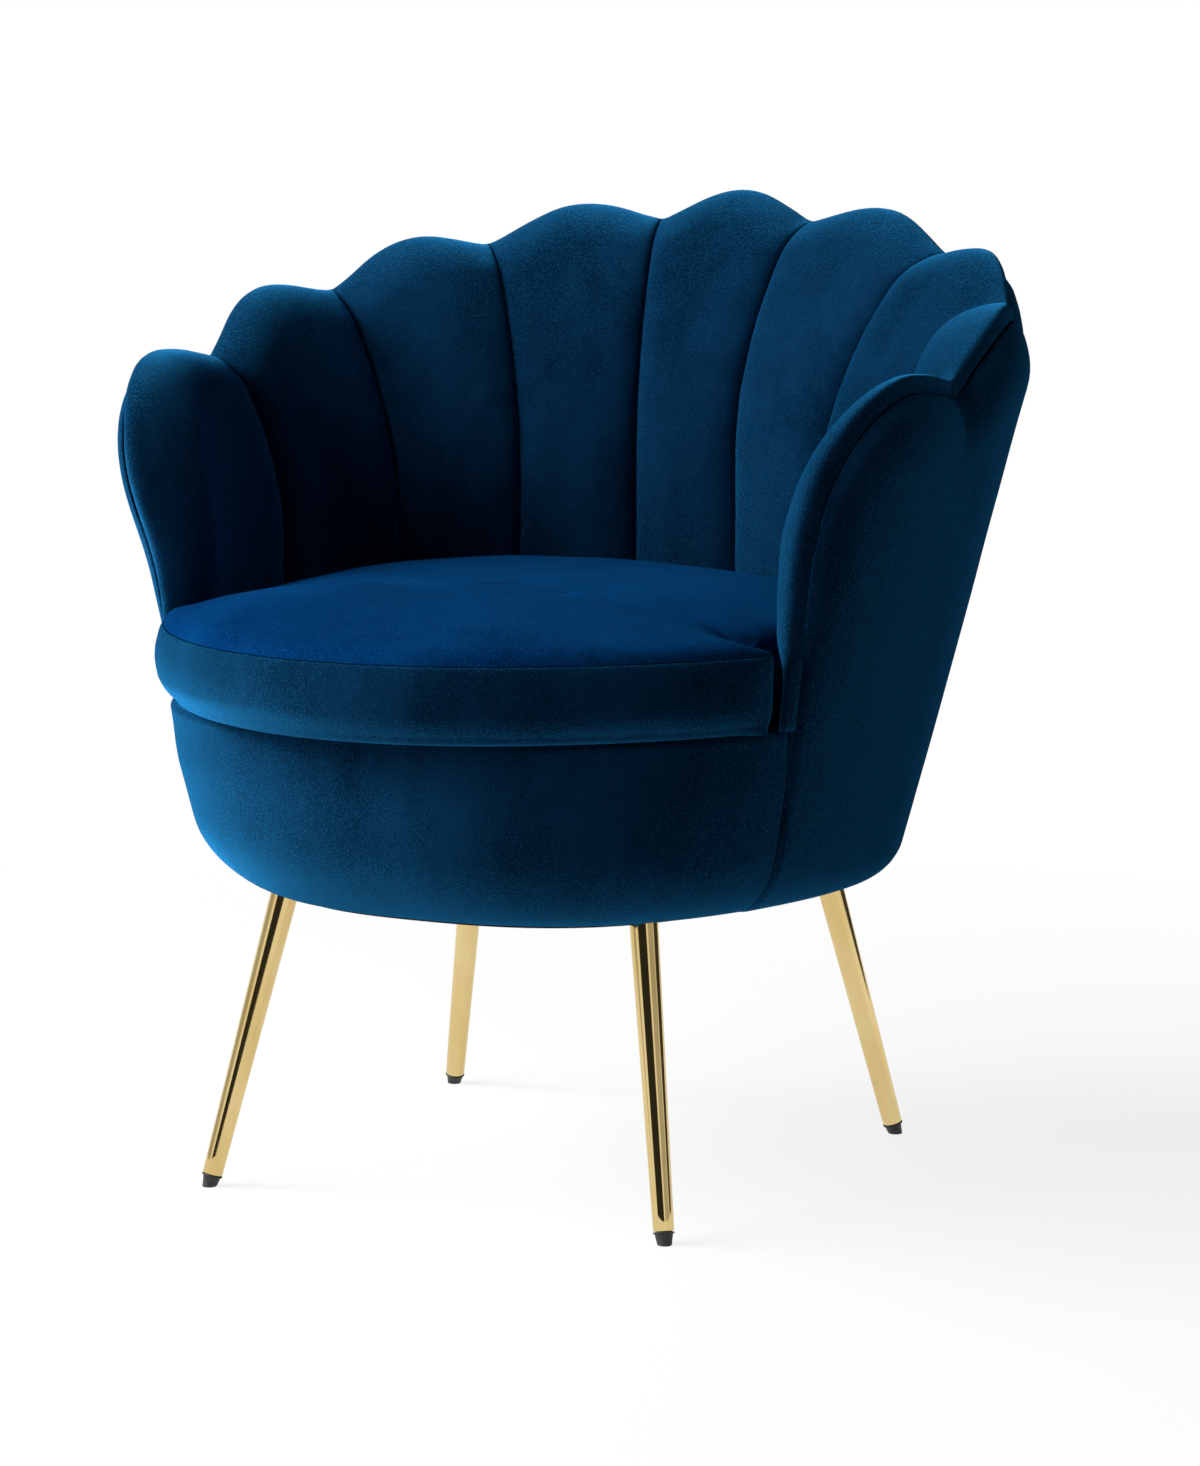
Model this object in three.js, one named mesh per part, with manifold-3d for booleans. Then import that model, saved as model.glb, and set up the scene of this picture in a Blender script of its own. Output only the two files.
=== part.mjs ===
// Scallop back tub chair with nine padded channels, a loose seat cushion and four splayed metal legs.
// Millimetres, +Z up, front towards -Y, origin on the floor at the middle of the chair's bounding box.
// Angles round the tub are measured at its upright axis, from the middle of the back towards +X.
import * as THREE from 'three';
import { mergeVertices } from 'three/addons/utils/BufferGeometryUtils.js';
import Module from 'manifold-3d';

const wasm = await Module();
wasm.setup();
const degree = Math.PI / 180;

// Clearances
const fitGap = 0.3;
const looseGap = 2.2;
const roundGap = 0.8;
const backGap = 0.9;

// Outer wall of the tub: plan radii at the underside, and how much they grow for each unit of height
const undersideHeight = 228;
const sideRadius = 249;
const rearRadius = 196;
const frontRadius = 330;
const sideLeanShare = 0.259;
const rearLeanShare = 0.2345;
const frontLeanShare = 0.21;
const rearPlanPower = 2.08;
const frontPlanPower = 2.5;
const rearEdgeRadius = 30;
const frontEdgeRadius = 65;
const turnUnder = 15;

// Inner wall along the grooves: this far inside the outer wall at the seat deck, then upright,
// then flaring out towards the crest. Flares are listed at the seams: how far out at the crest,
// and how far below the crest they start.
const sidePadFoot = 25;
const rearPadFoot = 44;
const innerPlanPower = 1.8;
const flareReaches = [75, 78, 76, 46];
const flareDrops = [190, 190, 205, 160];
const flarePower = 2;

// Scalloped crest: seams between the channels, their heights, and the rise of each lobe above its seams
const seamAngles = [14.2, 43, 68, 97].map((angle) => angle * degree);
const seamHeights = [732, 710, 673, 625];
const lobeRises = [25, 22, 22, 26];
const lobePower = 1.25;
const channelCount = 9;

// Arm ends: the last channel on each side turns down into a rolled front edge
const armTopHeight = 633;
const armFrontAngle = 127.4 * degree;
const armArcRadius = 330;
const armCornerRun = 110;
const armCornerDrop = 130;
const armCrownRun = 62;
const armTaperShare = 0.14;

// Channel padding
const channelDepth = 16;
const crownPower = 2.4;
const rollRadius = 27;
const rollBulge = 12;
const ridgeShare = 0.28;
const seamDrop = 14;
const armBackGap = 3;

// Below the seam behind the crest the wall is drawn in, and comes back out to its line this far down
const crestTuck = 22;
const tuckRun = 48;
const tuckShares = [0, 0.45, 0.9, 1.5];

// Covers and frame
const coverThickness = 2.5;
const slatThickness = 12;
const apronThickness = 8;
const deckHeight = 376;
const deckThickness = 7;
const railThickness = 18;
const boardRise = 20;
const boardThickness = 18;
const dustThickness = 1.2;
const dustLap = 11;
const webbingWidth = 50;
const webbingThickness = 2;
const webbingPitch = 118;
const sideRailAngle = 50 * degree;

// Legs: where their axes meet the plates, splay per unit of height, and tube sizes
const frontLegSpread = 150.5;
const frontLegReach = 205;
const rearLegSpread = 154.5;
const rearLegReach = 106;
const frontSpreadShare = 0.182;
const frontReachShare = 0.208;
const rearSpreadShare = 0.202;
const rearReachShare = 0.204;
const legTopRadius = 11;
const legFootRadius = 7.7;
const legWall = 1.2;
const legSleeveGap = 0.9;
const plateThickness = 3;
const plateReach = 19;
const plateCorner = 9.5;
const screwRadius = 2;
const screwHeadRadius = 4;
const screwHeadHeight = 2.2;
const screwCrownShare = 0.8;
const screwLength = 14;
const screwHoleGap = 0.6;
const capHeight = 9.5;
const capSoleRadius = 5.6;
const capNeckRadius = 6.9;
const capRimHeight = 1.4;
const capPlugLength = 13;

// Loose seat cushion
const noseOverhang = 33;
const noseSideOverhang = 3;
const earCornerRadius = 16;
const borderHeight = 60;
const crownRise = 31;
const cushionCoverThickness = 2.4;
const borderBulge = 6;
const lowerEdgeRadius = 12;
const roundShare = 1 - Math.SQRT1_2;
const undersideShare = 0.5;
const crownRingShares = [[0.975, 0.3], [0.92, 0.68], [0.78, 0.93], [0.4, 1]];
const zipLength = 150;
const zipHeight = 5;

// Finishes
const velvetColour = 0x0b4478;
const timberColour = 0xc8a87a;
const foamColour = 0xe6dcc0;
const clothColour = 0x1b1c1f;
const webbingColour = 0x8a8d90;
const goldColour = 0xd6b36a;
const steelColour = 0x9a9da1;
const plasticColour = 0x141416;

function finish(color, roughness, metalness) {
  return new THREE.MeshStandardMaterial({ color, roughness, metalness });
}

// Derived levels
const deckUnderside = deckHeight - deckThickness;
const upperWebbingHeight = deckUnderside - fitGap - webbingThickness;
const lowerWebbingHeight = upperWebbingHeight - fitGap - webbingThickness;
const railTop = lowerWebbingHeight - fitGap;
const boardUnderside = undersideHeight + boardRise;
const boardTop = boardUnderside + boardThickness;
const railBottom = boardTop + fitGap;
const padBottom = deckHeight + fitGap;
const slatOuterDepth = coverThickness + fitGap;
const slatInnerDepth = slatOuterDepth + slatThickness;
const padBackDepth = slatInnerDepth + backGap;
const plateTop = boardUnderside - fitGap;
const plateUnderside = plateTop - plateThickness;
const legTopHeight = plateUnderside - fitGap;
const cushionBottom = deckHeight + fitGap;
const cushionSeamHeight = deckHeight + borderHeight;
const cushionCrownHeight = cushionSeamHeight + crownRise;
const deckRise = deckHeight - undersideHeight;
const seamRise = cushionSeamHeight - undersideHeight;
const innerSideRadius = sideRadius + sideLeanShare * deckRise - sidePadFoot;
const innerRearRadius = rearRadius + rearLeanShare * deckRise - rearPadFoot;
const cushionFrontReach = frontRadius + frontLeanShare * seamRise + noseOverhang;
const cushionFrontHalfWidth = sideRadius + sideLeanShare * seamRise + noseSideOverhang;

// Plan curves of the tub
function superellipse(angle, side, end, power) {
  const across = Math.abs(Math.sin(angle)) / side;
  const along = Math.abs(Math.cos(angle)) / end;
  return (across ** power + along ** power) ** (-1 / power);
}

function wallLine(angle, height) {
  const rise = height - undersideHeight;
  const side = sideRadius + sideLeanShare * rise;
  if (Math.cos(angle) >= 0) {
    return superellipse(angle, side, rearRadius + rearLeanShare * rise, rearPlanPower);
  }
  return superellipse(angle, side, frontRadius + frontLeanShare * rise, frontPlanPower);
}

// The wall line, drawn in below the crest and behind the arms' front edges
function wallRadius(angle, height) {
  return wallLine(angle, height) - tuck(angle, height);
}

function tuck(angle, height) {
  const rise = Math.min(1, (height - deckHeight) / (armTopHeight - deckHeight));
  if (rise <= 0) return 0;
  return crestTuck * rise * (1 - smooth((edgeDrop(angle, height) - seamDrop) / tuckRun));
}

function edgeRadius(angle) {
  const front = Math.max(0, -Math.cos(angle));
  return rearEdgeRadius + (frontEdgeRadius - rearEdgeRadius) * front * front * (3 - 2 * front);
}

// How far in from the leaning wall line a face lies that is `depth` below the cover's face,
// with the rounded lower edge taken into account
function wallInset(angle, height, depth) {
  const round = edgeRadius(angle) - depth;
  const sine = 1 - (height - undersideHeight - depth) / round;
  if (sine <= 0) return depth;
  const clipped = Math.min(1, sine);
  return depth + round * (1 - Math.sqrt(1 - clipped * clipped));
}

function place(angle, height, inset) {
  const radius = wallRadius(angle, height) - inset;
  return new THREE.Vector3(radius * Math.sin(angle), radius * Math.cos(angle), height);
}

// A value listed at the seams, read between them
function atSeams(values, angle) {
  const turn = Math.abs(angle);
  if (turn <= seamAngles[0]) return values[0];
  const next = seamAngles.findIndex((seam) => turn < seam);
  if (next < 0) return values[values.length - 1];
  const share = (turn - seamAngles[next - 1]) / (seamAngles[next] - seamAngles[next - 1]);
  return values[next - 1] * (1 - share) + values[next] * share;
}

function flare(angle, height) {
  const drop = atSeams(seamHeights, angle) - height;
  const share = Math.max(0, 1 - drop / atSeams(flareDrops, angle));
  return atSeams(flareReaches, angle) * share ** flarePower;
}

// Upholstery depth at the bottom of the groove between two channels
function seamDepth(angle, height) {
  const turn = Math.min(Math.abs(angle), Math.PI / 2);
  const inner = superellipse(turn, innerSideRadius, innerRearRadius, innerPlanPower) + flare(angle, height);
  return wallLine(turn, height) - inner - tuck(angle, height);
}

function crown(share) {
  return (1 - Math.abs(2 * share - 1) ** crownPower) ** (1 / crownPower);
}

function smooth(share) {
  const clipped = Math.min(1, Math.max(0, share));
  return clipped * clipped * (3 - 2 * clipped);
}

// Lobes 5 to 8 lie on the +X side of the middle; lobe 9 is the arm end. Lobes 4 to 1 mirror them.
const lobeEdges = [-seamAngles[0], ...seamAngles];

function crestHeight(angle) {
  const turn = Math.abs(angle);
  if (turn <= seamAngles[0]) {
    const share = (turn + seamAngles[0]) / (2 * seamAngles[0]);
    return seamHeights[0] + lobeRises[0] * Math.sin(Math.PI * share) ** lobePower;
  }
  let lobe = 1;
  while (lobe < seamAngles.length - 1 && turn > seamAngles[lobe]) lobe += 1;
  const share = Math.min(1, (turn - seamAngles[lobe - 1]) / (seamAngles[lobe] - seamAngles[lobe - 1]));
  const seam = seamHeights[lobe - 1] * (1 - share) + seamHeights[lobe] * share;
  return seam + lobeRises[lobe] * Math.abs(Math.sin(Math.PI * share)) ** lobePower;
}

// Outline of the arm end, laid flat: run along the wall from the last seam, and height.
// Stations go over the crest, round the corner and down the front edge; each has its outward normal.
const armSpan = (armFrontAngle - seamAngles[3]) * armArcRadius;
const armCrestRun = armSpan - armCornerRun;
const armCrestSteps = 4;
const armCornerSteps = 7;
const armEdgeSteps = 4;

function armCrest(run) {
  const lastSeam = seamHeights[seamHeights.length - 1];
  const share = Math.min(1, run / armCrestRun);
  return lastSeam + (armTopHeight - lastSeam) * Math.sin(Math.PI / 2 * share);
}

// How far a place on the wall lies below the crest, or behind the arm's front edge
function edgeDrop(angle, height) {
  const turn = Math.abs(angle);
  if (turn <= seamAngles[3]) return crestHeight(angle) - height;
  const run = (turn - seamAngles[3]) * armArcRadius;
  const along = Math.max(0, (run - armCrestRun) / armCornerRun);
  const up = Math.max(0, 1 - (armCrest(run) - height) / armCornerDrop);
  return armCornerDrop * (1 - Math.hypot(along, up));
}

function armStations() {
  const stations = [];
  const lastRise = armTopHeight - seamHeights[seamHeights.length - 1];
  for (let step = 0; step < armCrestSteps; step += 1) {
    const share = step / armCrestSteps;
    const slope = lastRise * Math.PI / 2 * Math.cos(Math.PI / 2 * share) / armCrestRun;
    const normal = new THREE.Vector2(step === 0 ? 0 : -slope, 1).normalize();
    stations.push({ run: armCrestRun * share, height: armCrest(armCrestRun * share), normal });
  }
  for (let step = 0; step <= armCornerSteps; step += 1) {
    const turn = Math.PI / 2 * step / armCornerSteps;
    const normal = new THREE.Vector2(Math.sin(turn) / armCornerRun, Math.cos(turn) / armCornerDrop).normalize();
    stations.push({
      run: armCrestRun + armCornerRun * Math.sin(turn),
      height: armTopHeight - armCornerDrop * (1 - Math.cos(turn)),
      normal,
    });
  }
  const cornerFoot = armTopHeight - armCornerDrop;
  for (let step = 1; step <= armEdgeSteps; step += 1) {
    const height = cornerFoot + (padBottom - cornerFoot) * step / armEdgeSteps;
    stations.push({ run: armSpan, height, normal: new THREE.Vector2(1, 0) });
  }
  return stations;
}

function armAngle(run) {
  return seamAngles[3] + run / armArcRadius;
}

// Upholstery depth of the arm end, thinner towards its front edge
function armDepth(run, height, swell) {
  const taper = 1 - armTaperShare * Math.max(0, run) / armSpan;
  const inner = innerSideRadius + flare(seamAngles[3], height);
  const depth = (wallLine(Math.PI / 2, height) - inner + channelDepth * swell) * taper;
  return depth - tuck(armAngle(run), height);
}

function armSwell(run) {
  const share = Math.min(1, Math.max(0, run) / armCrownRun);
  return crown(share / 2);
}

// Closed bodies
function bodyFrom(points, triangles) {
  let geometry = new THREE.BufferGeometry();
  const positions = new Float32Array(points.length * 3);
  points.forEach((point, index) => point.toArray(positions, index * 3));
  geometry.setAttribute('position', new THREE.BufferAttribute(positions, 3));
  geometry.setIndex(triangles.flat());
  geometry = mergeVertices(geometry, fitGap / 100);
  const index = geometry.getIndex().array;
  const kept = [];
  for (let corner = 0; corner < index.length; corner += 3) {
    const [a, b, c] = [index[corner], index[corner + 1], index[corner + 2]];
    if (a !== b && b !== c && a !== c) kept.push(a, b, c);
  }
  const spots = geometry.getAttribute('position');
  let volume = 0;
  const corners = [new THREE.Vector3(), new THREE.Vector3(), new THREE.Vector3()];
  for (let corner = 0; corner < kept.length; corner += 3) {
    corners.forEach((vector, offset) => vector.fromBufferAttribute(spots, kept[corner + offset]));
    volume += corners[0].dot(corners[1].clone().cross(corners[2]));
  }
  if (volume < 0) {
    for (let corner = 0; corner < kept.length; corner += 3) {
      [kept[corner + 1], kept[corner + 2]] = [kept[corner + 2], kept[corner + 1]];
    }
  }
  geometry.setIndex(kept);
  geometry.computeVertexNormals();
  return geometry;
}

// Joins equal closed sections into one body. Each section is a list of { flat, point }:
// `flat` is the point's place in the section's own plane, used to close the two end faces.
// Each four-cornered face is split the mirrored way on the left, so that both sides are alike.
function loftSections(sections) {
  const count = sections[0].length;
  const points = sections.flatMap((section) => section.map((entry) => entry.point));
  const triangles = [];
  for (let row = 0; row + 1 < sections.length; row += 1) {
    for (let slot = 0; slot < count; slot += 1) {
      const next = (slot + 1) % count;
      const a = row * count + slot;
      const b = row * count + next;
      const c = a + count;
      const d = b + count;
      const onLeft = points[a].x + points[d].x < 0;
      if (onLeft) triangles.push([a, b, c], [b, d, c]);
      else triangles.push([a, b, d], [a, d, c]);
    }
  }
  for (const row of [0, sections.length - 1]) {
    const outline = sections[row].map((entry) => entry.flat);
    const flipped = row === 0;
    for (const face of THREE.ShapeUtils.triangulateShape(outline, [])) {
      const ordered = alignedFace(face, count, flipped);
      triangles.push(ordered.map((slot) => slot + row * count));
    }
  }
  return bodyFrom(points, triangles);
}

// Earcut keeps one winding for all faces of a cap, so one shared edge tells which way the cap turns
function alignedFace(face, count, flipped) {
  const wanted = flipped ? -1 : 1;
  return capTurn(face, count) === wanted ? face : [face[0], face[2], face[1]];
}

function capTurn(face, count) {
  const sorted = [...face].sort((a, b) => a - b);
  const cyclic = [sorted, [sorted[1], sorted[2], sorted[0]], [sorted[2], sorted[0], sorted[1]]];
  return cyclic.some((order) => order.every((slot, index) => slot === face[index])) ? 1 : -1;
}

function sectionAt(angle, outline) {
  return outline.map(([inset, height]) => ({
    flat: new THREE.Vector2(inset, height),
    point: place(angle, height, inset),
  }));
}

function mirrored(geometry) {
  const copy = geometry.clone();
  copy.scale(-1, 1, 1);
  const index = copy.getIndex().array;
  for (let corner = 0; corner < index.length; corner += 3) {
    [index[corner + 1], index[corner + 2]] = [index[corner + 2], index[corner + 1]];
  }
  copy.computeVertexNormals();
  return copy;
}

function toSolid(geometry) {
  const bare = mergeVertices(stripped(geometry), fitGap / 100);
  const kept = bare.getIndex().array;
  return new wasm.Manifold(new wasm.Mesh({
    numProp: 3,
    vertProperties: new Float32Array(bare.getAttribute('position').array),
    triVerts: new Uint32Array(kept),
  }));
}

function stripped(geometry) {
  const bare = geometry.clone();
  bare.deleteAttribute('normal');
  bare.deleteAttribute('uv');
  return bare;
}

function fromSolid(solid) {
  const mesh = solid.getMesh();
  const geometry = new THREE.BufferGeometry();
  const positions = new Float32Array(mesh.numVert * 3);
  for (let vertex = 0; vertex < mesh.numVert; vertex += 1) {
    for (let axis = 0; axis < 3; axis += 1) {
      positions[vertex * 3 + axis] = mesh.vertProperties[vertex * mesh.numProp + axis];
    }
  }
  geometry.setAttribute('position', new THREE.BufferAttribute(positions, 3));
  geometry.setIndex([...mesh.triVerts]);
  geometry.computeVertexNormals();
  return geometry;
}

function carve(geometry, cutters) {
  let solid = toSolid(geometry);
  for (const cutter of cutters) solid = solid.subtract(toSolid(cutter));
  return fromSolid(solid);
}

// Legs
const legs = [
  { name: 'front_left', side: -1, front: true },
  { name: 'front_right', side: 1, front: true },
  { name: 'rear_left', side: -1, front: false },
  { name: 'rear_right', side: 1, front: false },
];

function legPoint(leg, height) {
  const drop = legTopHeight - height;
  if (leg.front) {
    const across = frontLegSpread + frontSpreadShare * drop;
    return new THREE.Vector3(leg.side * across, -(frontLegReach + frontReachShare * drop), height);
  }
  const across = rearLegSpread + rearSpreadShare * drop;
  return new THREE.Vector3(leg.side * across, rearLegReach + rearReachShare * drop, height);
}

function legAxis(leg) {
  return legPoint(leg, legTopHeight).sub(legPoint(leg, 0)).normalize();
}

// Rings of a tilted round bar. A ring is { at, radius } along the axis from the floor point,
// or { level, radius } where the bar is cut by a level plane.
const legSides = 18;

function tiltedRing(leg, ring) {
  const axis = legAxis(leg);
  const start = legPoint(leg, 0);
  const right = new THREE.Vector3(0, 0, 1).cross(axis).normalize();
  const ahead = axis.clone().cross(right);
  const points = [];
  for (let side = 0; side < legSides; side += 1) {
    const turn = 2 * Math.PI * side / legSides;
    const spoke = right.clone().multiplyScalar(Math.cos(turn) * ring.radius);
    spoke.addScaledVector(ahead, Math.sin(turn) * ring.radius);
    const base = start.clone().add(spoke);
    const along = ring.level === undefined ? ring.at : (ring.level - base.z) / axis.z;
    points.push(base.addScaledVector(axis, along));
  }
  return points;
}

// A bar with closed ends from a list of rings, or a tube when the list runs up outside and down inside
function tiltedBody(leg, rings, hollow) {
  const loops = rings.map((ring) => tiltedRing(leg, ring));
  const points = loops.flat();
  const triangles = [];
  const rows = hollow ? loops.length : loops.length - 1;
  for (let row = 0; row < rows; row += 1) {
    for (let side = 0; side < legSides; side += 1) {
      const a = row * legSides + side;
      const b = row * legSides + (side + 1) % legSides;
      const c = ((row + 1) % loops.length) * legSides + side;
      const d = ((row + 1) % loops.length) * legSides + (side + 1) % legSides;
      triangles.push([a, b, d], [a, d, c]);
    }
  }
  if (!hollow) {
    const top = (loops.length - 1) * legSides;
    for (let side = 1; side + 1 < legSides; side += 1) {
      triangles.push([0, side + 1, side], [top, top + side, top + side + 1]);
    }
  }
  return bodyFrom(points, triangles);
}

function legLength(leg) {
  return legPoint(leg, legTopHeight).distanceTo(legPoint(leg, 0));
}

function legRadiusAt(leg, along) {
  return legFootRadius + (legTopRadius - legFootRadius) * along / legLength(leg);
}

function legTube(leg) {
  const foot = capHeight + fitGap;
  const top = legLength(leg);
  return tiltedBody(leg, [
    { at: foot, radius: legRadiusAt(leg, foot) },
    { level: legTopHeight, radius: legRadiusAt(leg, top) },
    { level: legTopHeight, radius: legRadiusAt(leg, top) - legWall },
    { at: foot, radius: legRadiusAt(leg, foot) - legWall },
  ], true);
}

function footCap(leg) {
  const rim = capHeight - capRimHeight;
  const plug = legRadiusAt(leg, capHeight) - legWall - fitGap;
  return tiltedBody(leg, [
    { level: 0, radius: capSoleRadius },
    { at: rim, radius: capNeckRadius },
    { at: rim, radius: legFootRadius + fitGap },
    { at: capHeight, radius: legFootRadius + fitGap },
    { at: capHeight, radius: plug },
    { at: capHeight + capPlugLength, radius: plug },
  ], false);
}

function legSleeve(leg) {
  const radius = legTopRadius + legSleeveGap;
  return tiltedBody(leg, [
    { level: undersideHeight - boardRise, radius },
    { level: boardUnderside - fitGap, radius },
  ], false);
}

// Leg plates are three rounded lobes with one screw in each
function plateScrewPoints(leg) {
  const centre = legPoint(leg, legTopHeight);
  const inward = Math.atan2(-centre.y, -centre.x);
  return [0, 1, 2].map((index) => {
    const turn = inward + 2 * Math.PI * index / 3;
    return new THREE.Vector2(centre.x + plateReach * Math.cos(turn), centre.y + plateReach * Math.sin(turn));
  });
}

const roundSides = 8;
const plateSteps = 4;

function circlePath(centre, radius, path) {
  for (let side = 0; side < roundSides; side += 1) {
    const turn = -2 * Math.PI * side / roundSides;
    const x = centre.x + radius * Math.cos(turn);
    const y = centre.y + radius * Math.sin(turn);
    if (side === 0) path.moveTo(x, y);
    else path.lineTo(x, y);
  }
  path.closePath();
  return path;
}

function plateShape(leg) {
  const points = plateScrewPoints(leg);
  const centre = legPoint(leg, legTopHeight);
  const shape = new THREE.Shape();
  points.forEach((point, index) => {
    const facing = Math.atan2(point.y - centre.y, point.x - centre.x);
    for (let step = 0; step <= plateSteps; step += 1) {
      const turn = facing + (step / plateSteps - 1 / 2) * 2 * Math.PI / 3;
      const x = point.x + plateCorner * Math.cos(turn);
      const y = point.y + plateCorner * Math.sin(turn);
      if (index === 0 && step === 0) shape.moveTo(x, y);
      else shape.lineTo(x, y);
    }
  });
  shape.closePath();
  for (const point of points) {
    shape.holes.push(circlePath(point, screwRadius + screwHoleGap, new THREE.Path()));
  }
  return shape;
}

function slab(shape, bottom, thickness) {
  const geometry = new THREE.ExtrudeGeometry(shape, { depth: thickness, bevelEnabled: false });
  geometry.translate(0, 0, bottom);
  return geometry;
}

function screwBody(point) {
  const profile = [
    new THREE.Vector2(0, -screwHeadHeight),
    new THREE.Vector2(screwHeadRadius * screwCrownShare, -screwHeadHeight),
    new THREE.Vector2(screwHeadRadius, -fitGap),
    new THREE.Vector2(screwRadius, -fitGap),
    new THREE.Vector2(screwRadius, screwLength - screwRadius),
    new THREE.Vector2(0, screwLength),
  ];
  const geometry = new THREE.LatheGeometry(profile, roundSides);
  geometry.rotateX(Math.PI / 2);
  geometry.translate(point.x, point.y, plateUnderside);
  return geometry;
}

// Angles that every ring-shaped piece shares, so that neighbouring faces run parallel
const lobeShares = [0, 0.04, 0.15, 0.31, 0.5, 0.69, 0.85, 0.96, 1];

function lobeAngle(lobe, share) {
  return lobeEdges[lobe] * (1 - share) + lobeEdges[lobe + 1] * share;
}

// Half the back, from the middle to the last seam, as { angle, swell, top }
function crestColumns(from, to) {
  const columns = [];
  for (let lobe = from; lobe <= to; lobe += 1) {
    for (const share of lobeShares) {
      const angle = lobeAngle(lobe, share);
      if (columns.length && angle <= columns[columns.length - 1].angle) continue;
      columns.push({ angle, swell: crown(share), top: crestHeight(angle) - seamDrop - fitGap });
    }
  }
  return columns;
}

// Columns of the arm end behind its rolled edge, which keep `seamDrop` from the outline
function armColumns() {
  const back = seamDrop + fitGap;
  return armStations().slice(1, armCrestSteps + armCornerSteps + 1).map((station) => {
    const run = station.run - back * station.normal.x;
    const top = station.height - back * station.normal.y;
    return { angle: armAngle(run), swell: armSwell(run), top };
  });
}

function withMirror(columns) {
  const left = columns.filter((column) => column.angle > 0).map((column) => ({ ...column, angle: -column.angle }));
  return [...left.reverse(), ...columns.filter((column) => column.angle >= 0)];
}

const coverEndAngle = armColumns()[armColumns().length - 1].angle;

// The rounded lower edge, stepped alike in every layer so that the layers' faces run parallel
const roundSteps = 5;
const slatRoundSteps = 2;

function inwardRound(angle, depth, lastStep) {
  const round = edgeRadius(angle) - depth;
  const outline = [];
  for (let step = 0; step <= lastStep; step += 1) {
    const turn = Math.PI / 2 * step / roundSteps;
    outline.push([
      depth + round * (1 - Math.cos(turn)),
      undersideHeight + depth + round * (1 - Math.sin(turn)),
    ]);
  }
  return outline;
}

// The tucked face above the deck, from the top down, stepped alike in every layer for the same reason
function tuckedRows(depth, top) {
  const rows = tuckShares.map((share) => [depth, top - tuckRun * share]);
  return [...rows, [depth, padBottom]];
}

// Outside cover: one velvet skin round the back and both arms, turned under the seat
function outsideCover() {
  const columns = withMirror([...crestColumns(0, 3), ...armColumns()]);
  const sections = columns.map(({ angle, top }) => {
    const flange = edgeRadius(angle) + turnUnder;
    const outline = [
      ...tuckedRows(0, top),
      ...inwardRound(angle, 0, roundSteps),
      [flange, undersideHeight],
      [flange, undersideHeight + coverThickness],
      ...inwardRound(angle, coverThickness, roundSteps).reverse(),
      ...tuckedRows(coverThickness, top).reverse(),
    ];
    return sectionAt(angle, outline);
  });
  return carve(loftSections(sections), legs.slice(2).map(legSleeve));
}

// Back slats: bent plywood staves that stand on the seat board's edge, one behind each channel
function slatBody(columns) {
  const sections = columns.map(({ angle, top }) => {
    const round = inwardRound(angle, slatOuterDepth, slatRoundSteps);
    const foot = round[round.length - 1][1];
    return sectionAt(angle, [
      ...tuckedRows(slatInnerDepth, top),
      [slatInnerDepth, foot],
      ...round.reverse(),
      ...tuckedRows(slatOuterDepth, top).reverse(),
    ]);
  });
  return loftSections(sections);
}

const halfSeam = fitGap / armArcRadius;

function trimmedColumns(columns) {
  const first = columns[0];
  const last = columns[columns.length - 1];
  return [
    { ...first, angle: first.angle + halfSeam },
    ...columns.slice(1, -1),
    { ...last, angle: last.angle - halfSeam },
  ];
}

// Channel pads: foam and velvet that rise over the slat and end at the seam behind the crest
const rollSteps = 3;
const padRowShares = [0.3, 0.48, 0.62, 0.74, 0.86];

function padSection(angle, swell, crest) {
  const innerDepth = (height) => seamDepth(angle, height) + channelDepth * swell;
  const outline = [[innerDepth(padBottom), padBottom]];
  const rollFoot = crest - rollRadius;
  for (const share of padRowShares) {
    const height = padBottom + (rollFoot - padBottom) * share;
    outline.push([innerDepth(height), height]);
  }
  for (let step = 0; step <= rollSteps; step += 1) {
    outline.push(rollPoint(innerDepth, swell, crest, Math.PI / 2 * step / rollSteps));
  }
  for (let step = 1; step <= rollSteps - 1; step += 1) {
    const turn = Math.PI / 2 + (Math.PI / 2 - rollTurn) * step / (rollSteps - 1);
    outline.push(rollPoint(innerDepth, swell, crest, turn));
  }
  outline.push([padBackDepth, crest - seamDrop], ...tuckedRows(padBackDepth, crest - seamDrop - fitGap));
  return sectionAt(angle, outline);
}

// The roll over the crest starts at the inner face, is highest near the outer one, and swells out
// past the wall before it ends at the seam
const rollTurn = Math.asin(1 - seamDrop / rollRadius);

function rollDepth(inner, swell, turn) {
  const ridge = ridgeShare * inner;
  if (turn < Math.PI / 2) return ridge + (inner - ridge) * Math.cos(turn);
  const share = (turn - Math.PI / 2) / (Math.PI / 2 - rollTurn);
  return ridge + ridge * Math.cos(turn) - rollBulge * swell * Math.sin(Math.PI * share);
}

function rollPoint(innerDepth, swell, crest, turn) {
  const height = crest - rollRadius * (1 - Math.sin(turn));
  return [rollDepth(innerDepth(height), swell, turn), height];
}

function channelPad(lobe) {
  const columns = crestColumns(lobe, lobe).map((column) => ({
    ...column,
    crest: crestHeight(column.angle),
  }));
  return loftSections(trimmedColumns(columns).map(({ angle, swell, crest }) => padSection(angle, swell, crest)));
}

// The arm end's pad fans out from its lower rear corner, so that its ribs meet the rolled edge squarely
const fanShares = [0, 0.34, 0.6, 0.82, 1];

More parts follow.
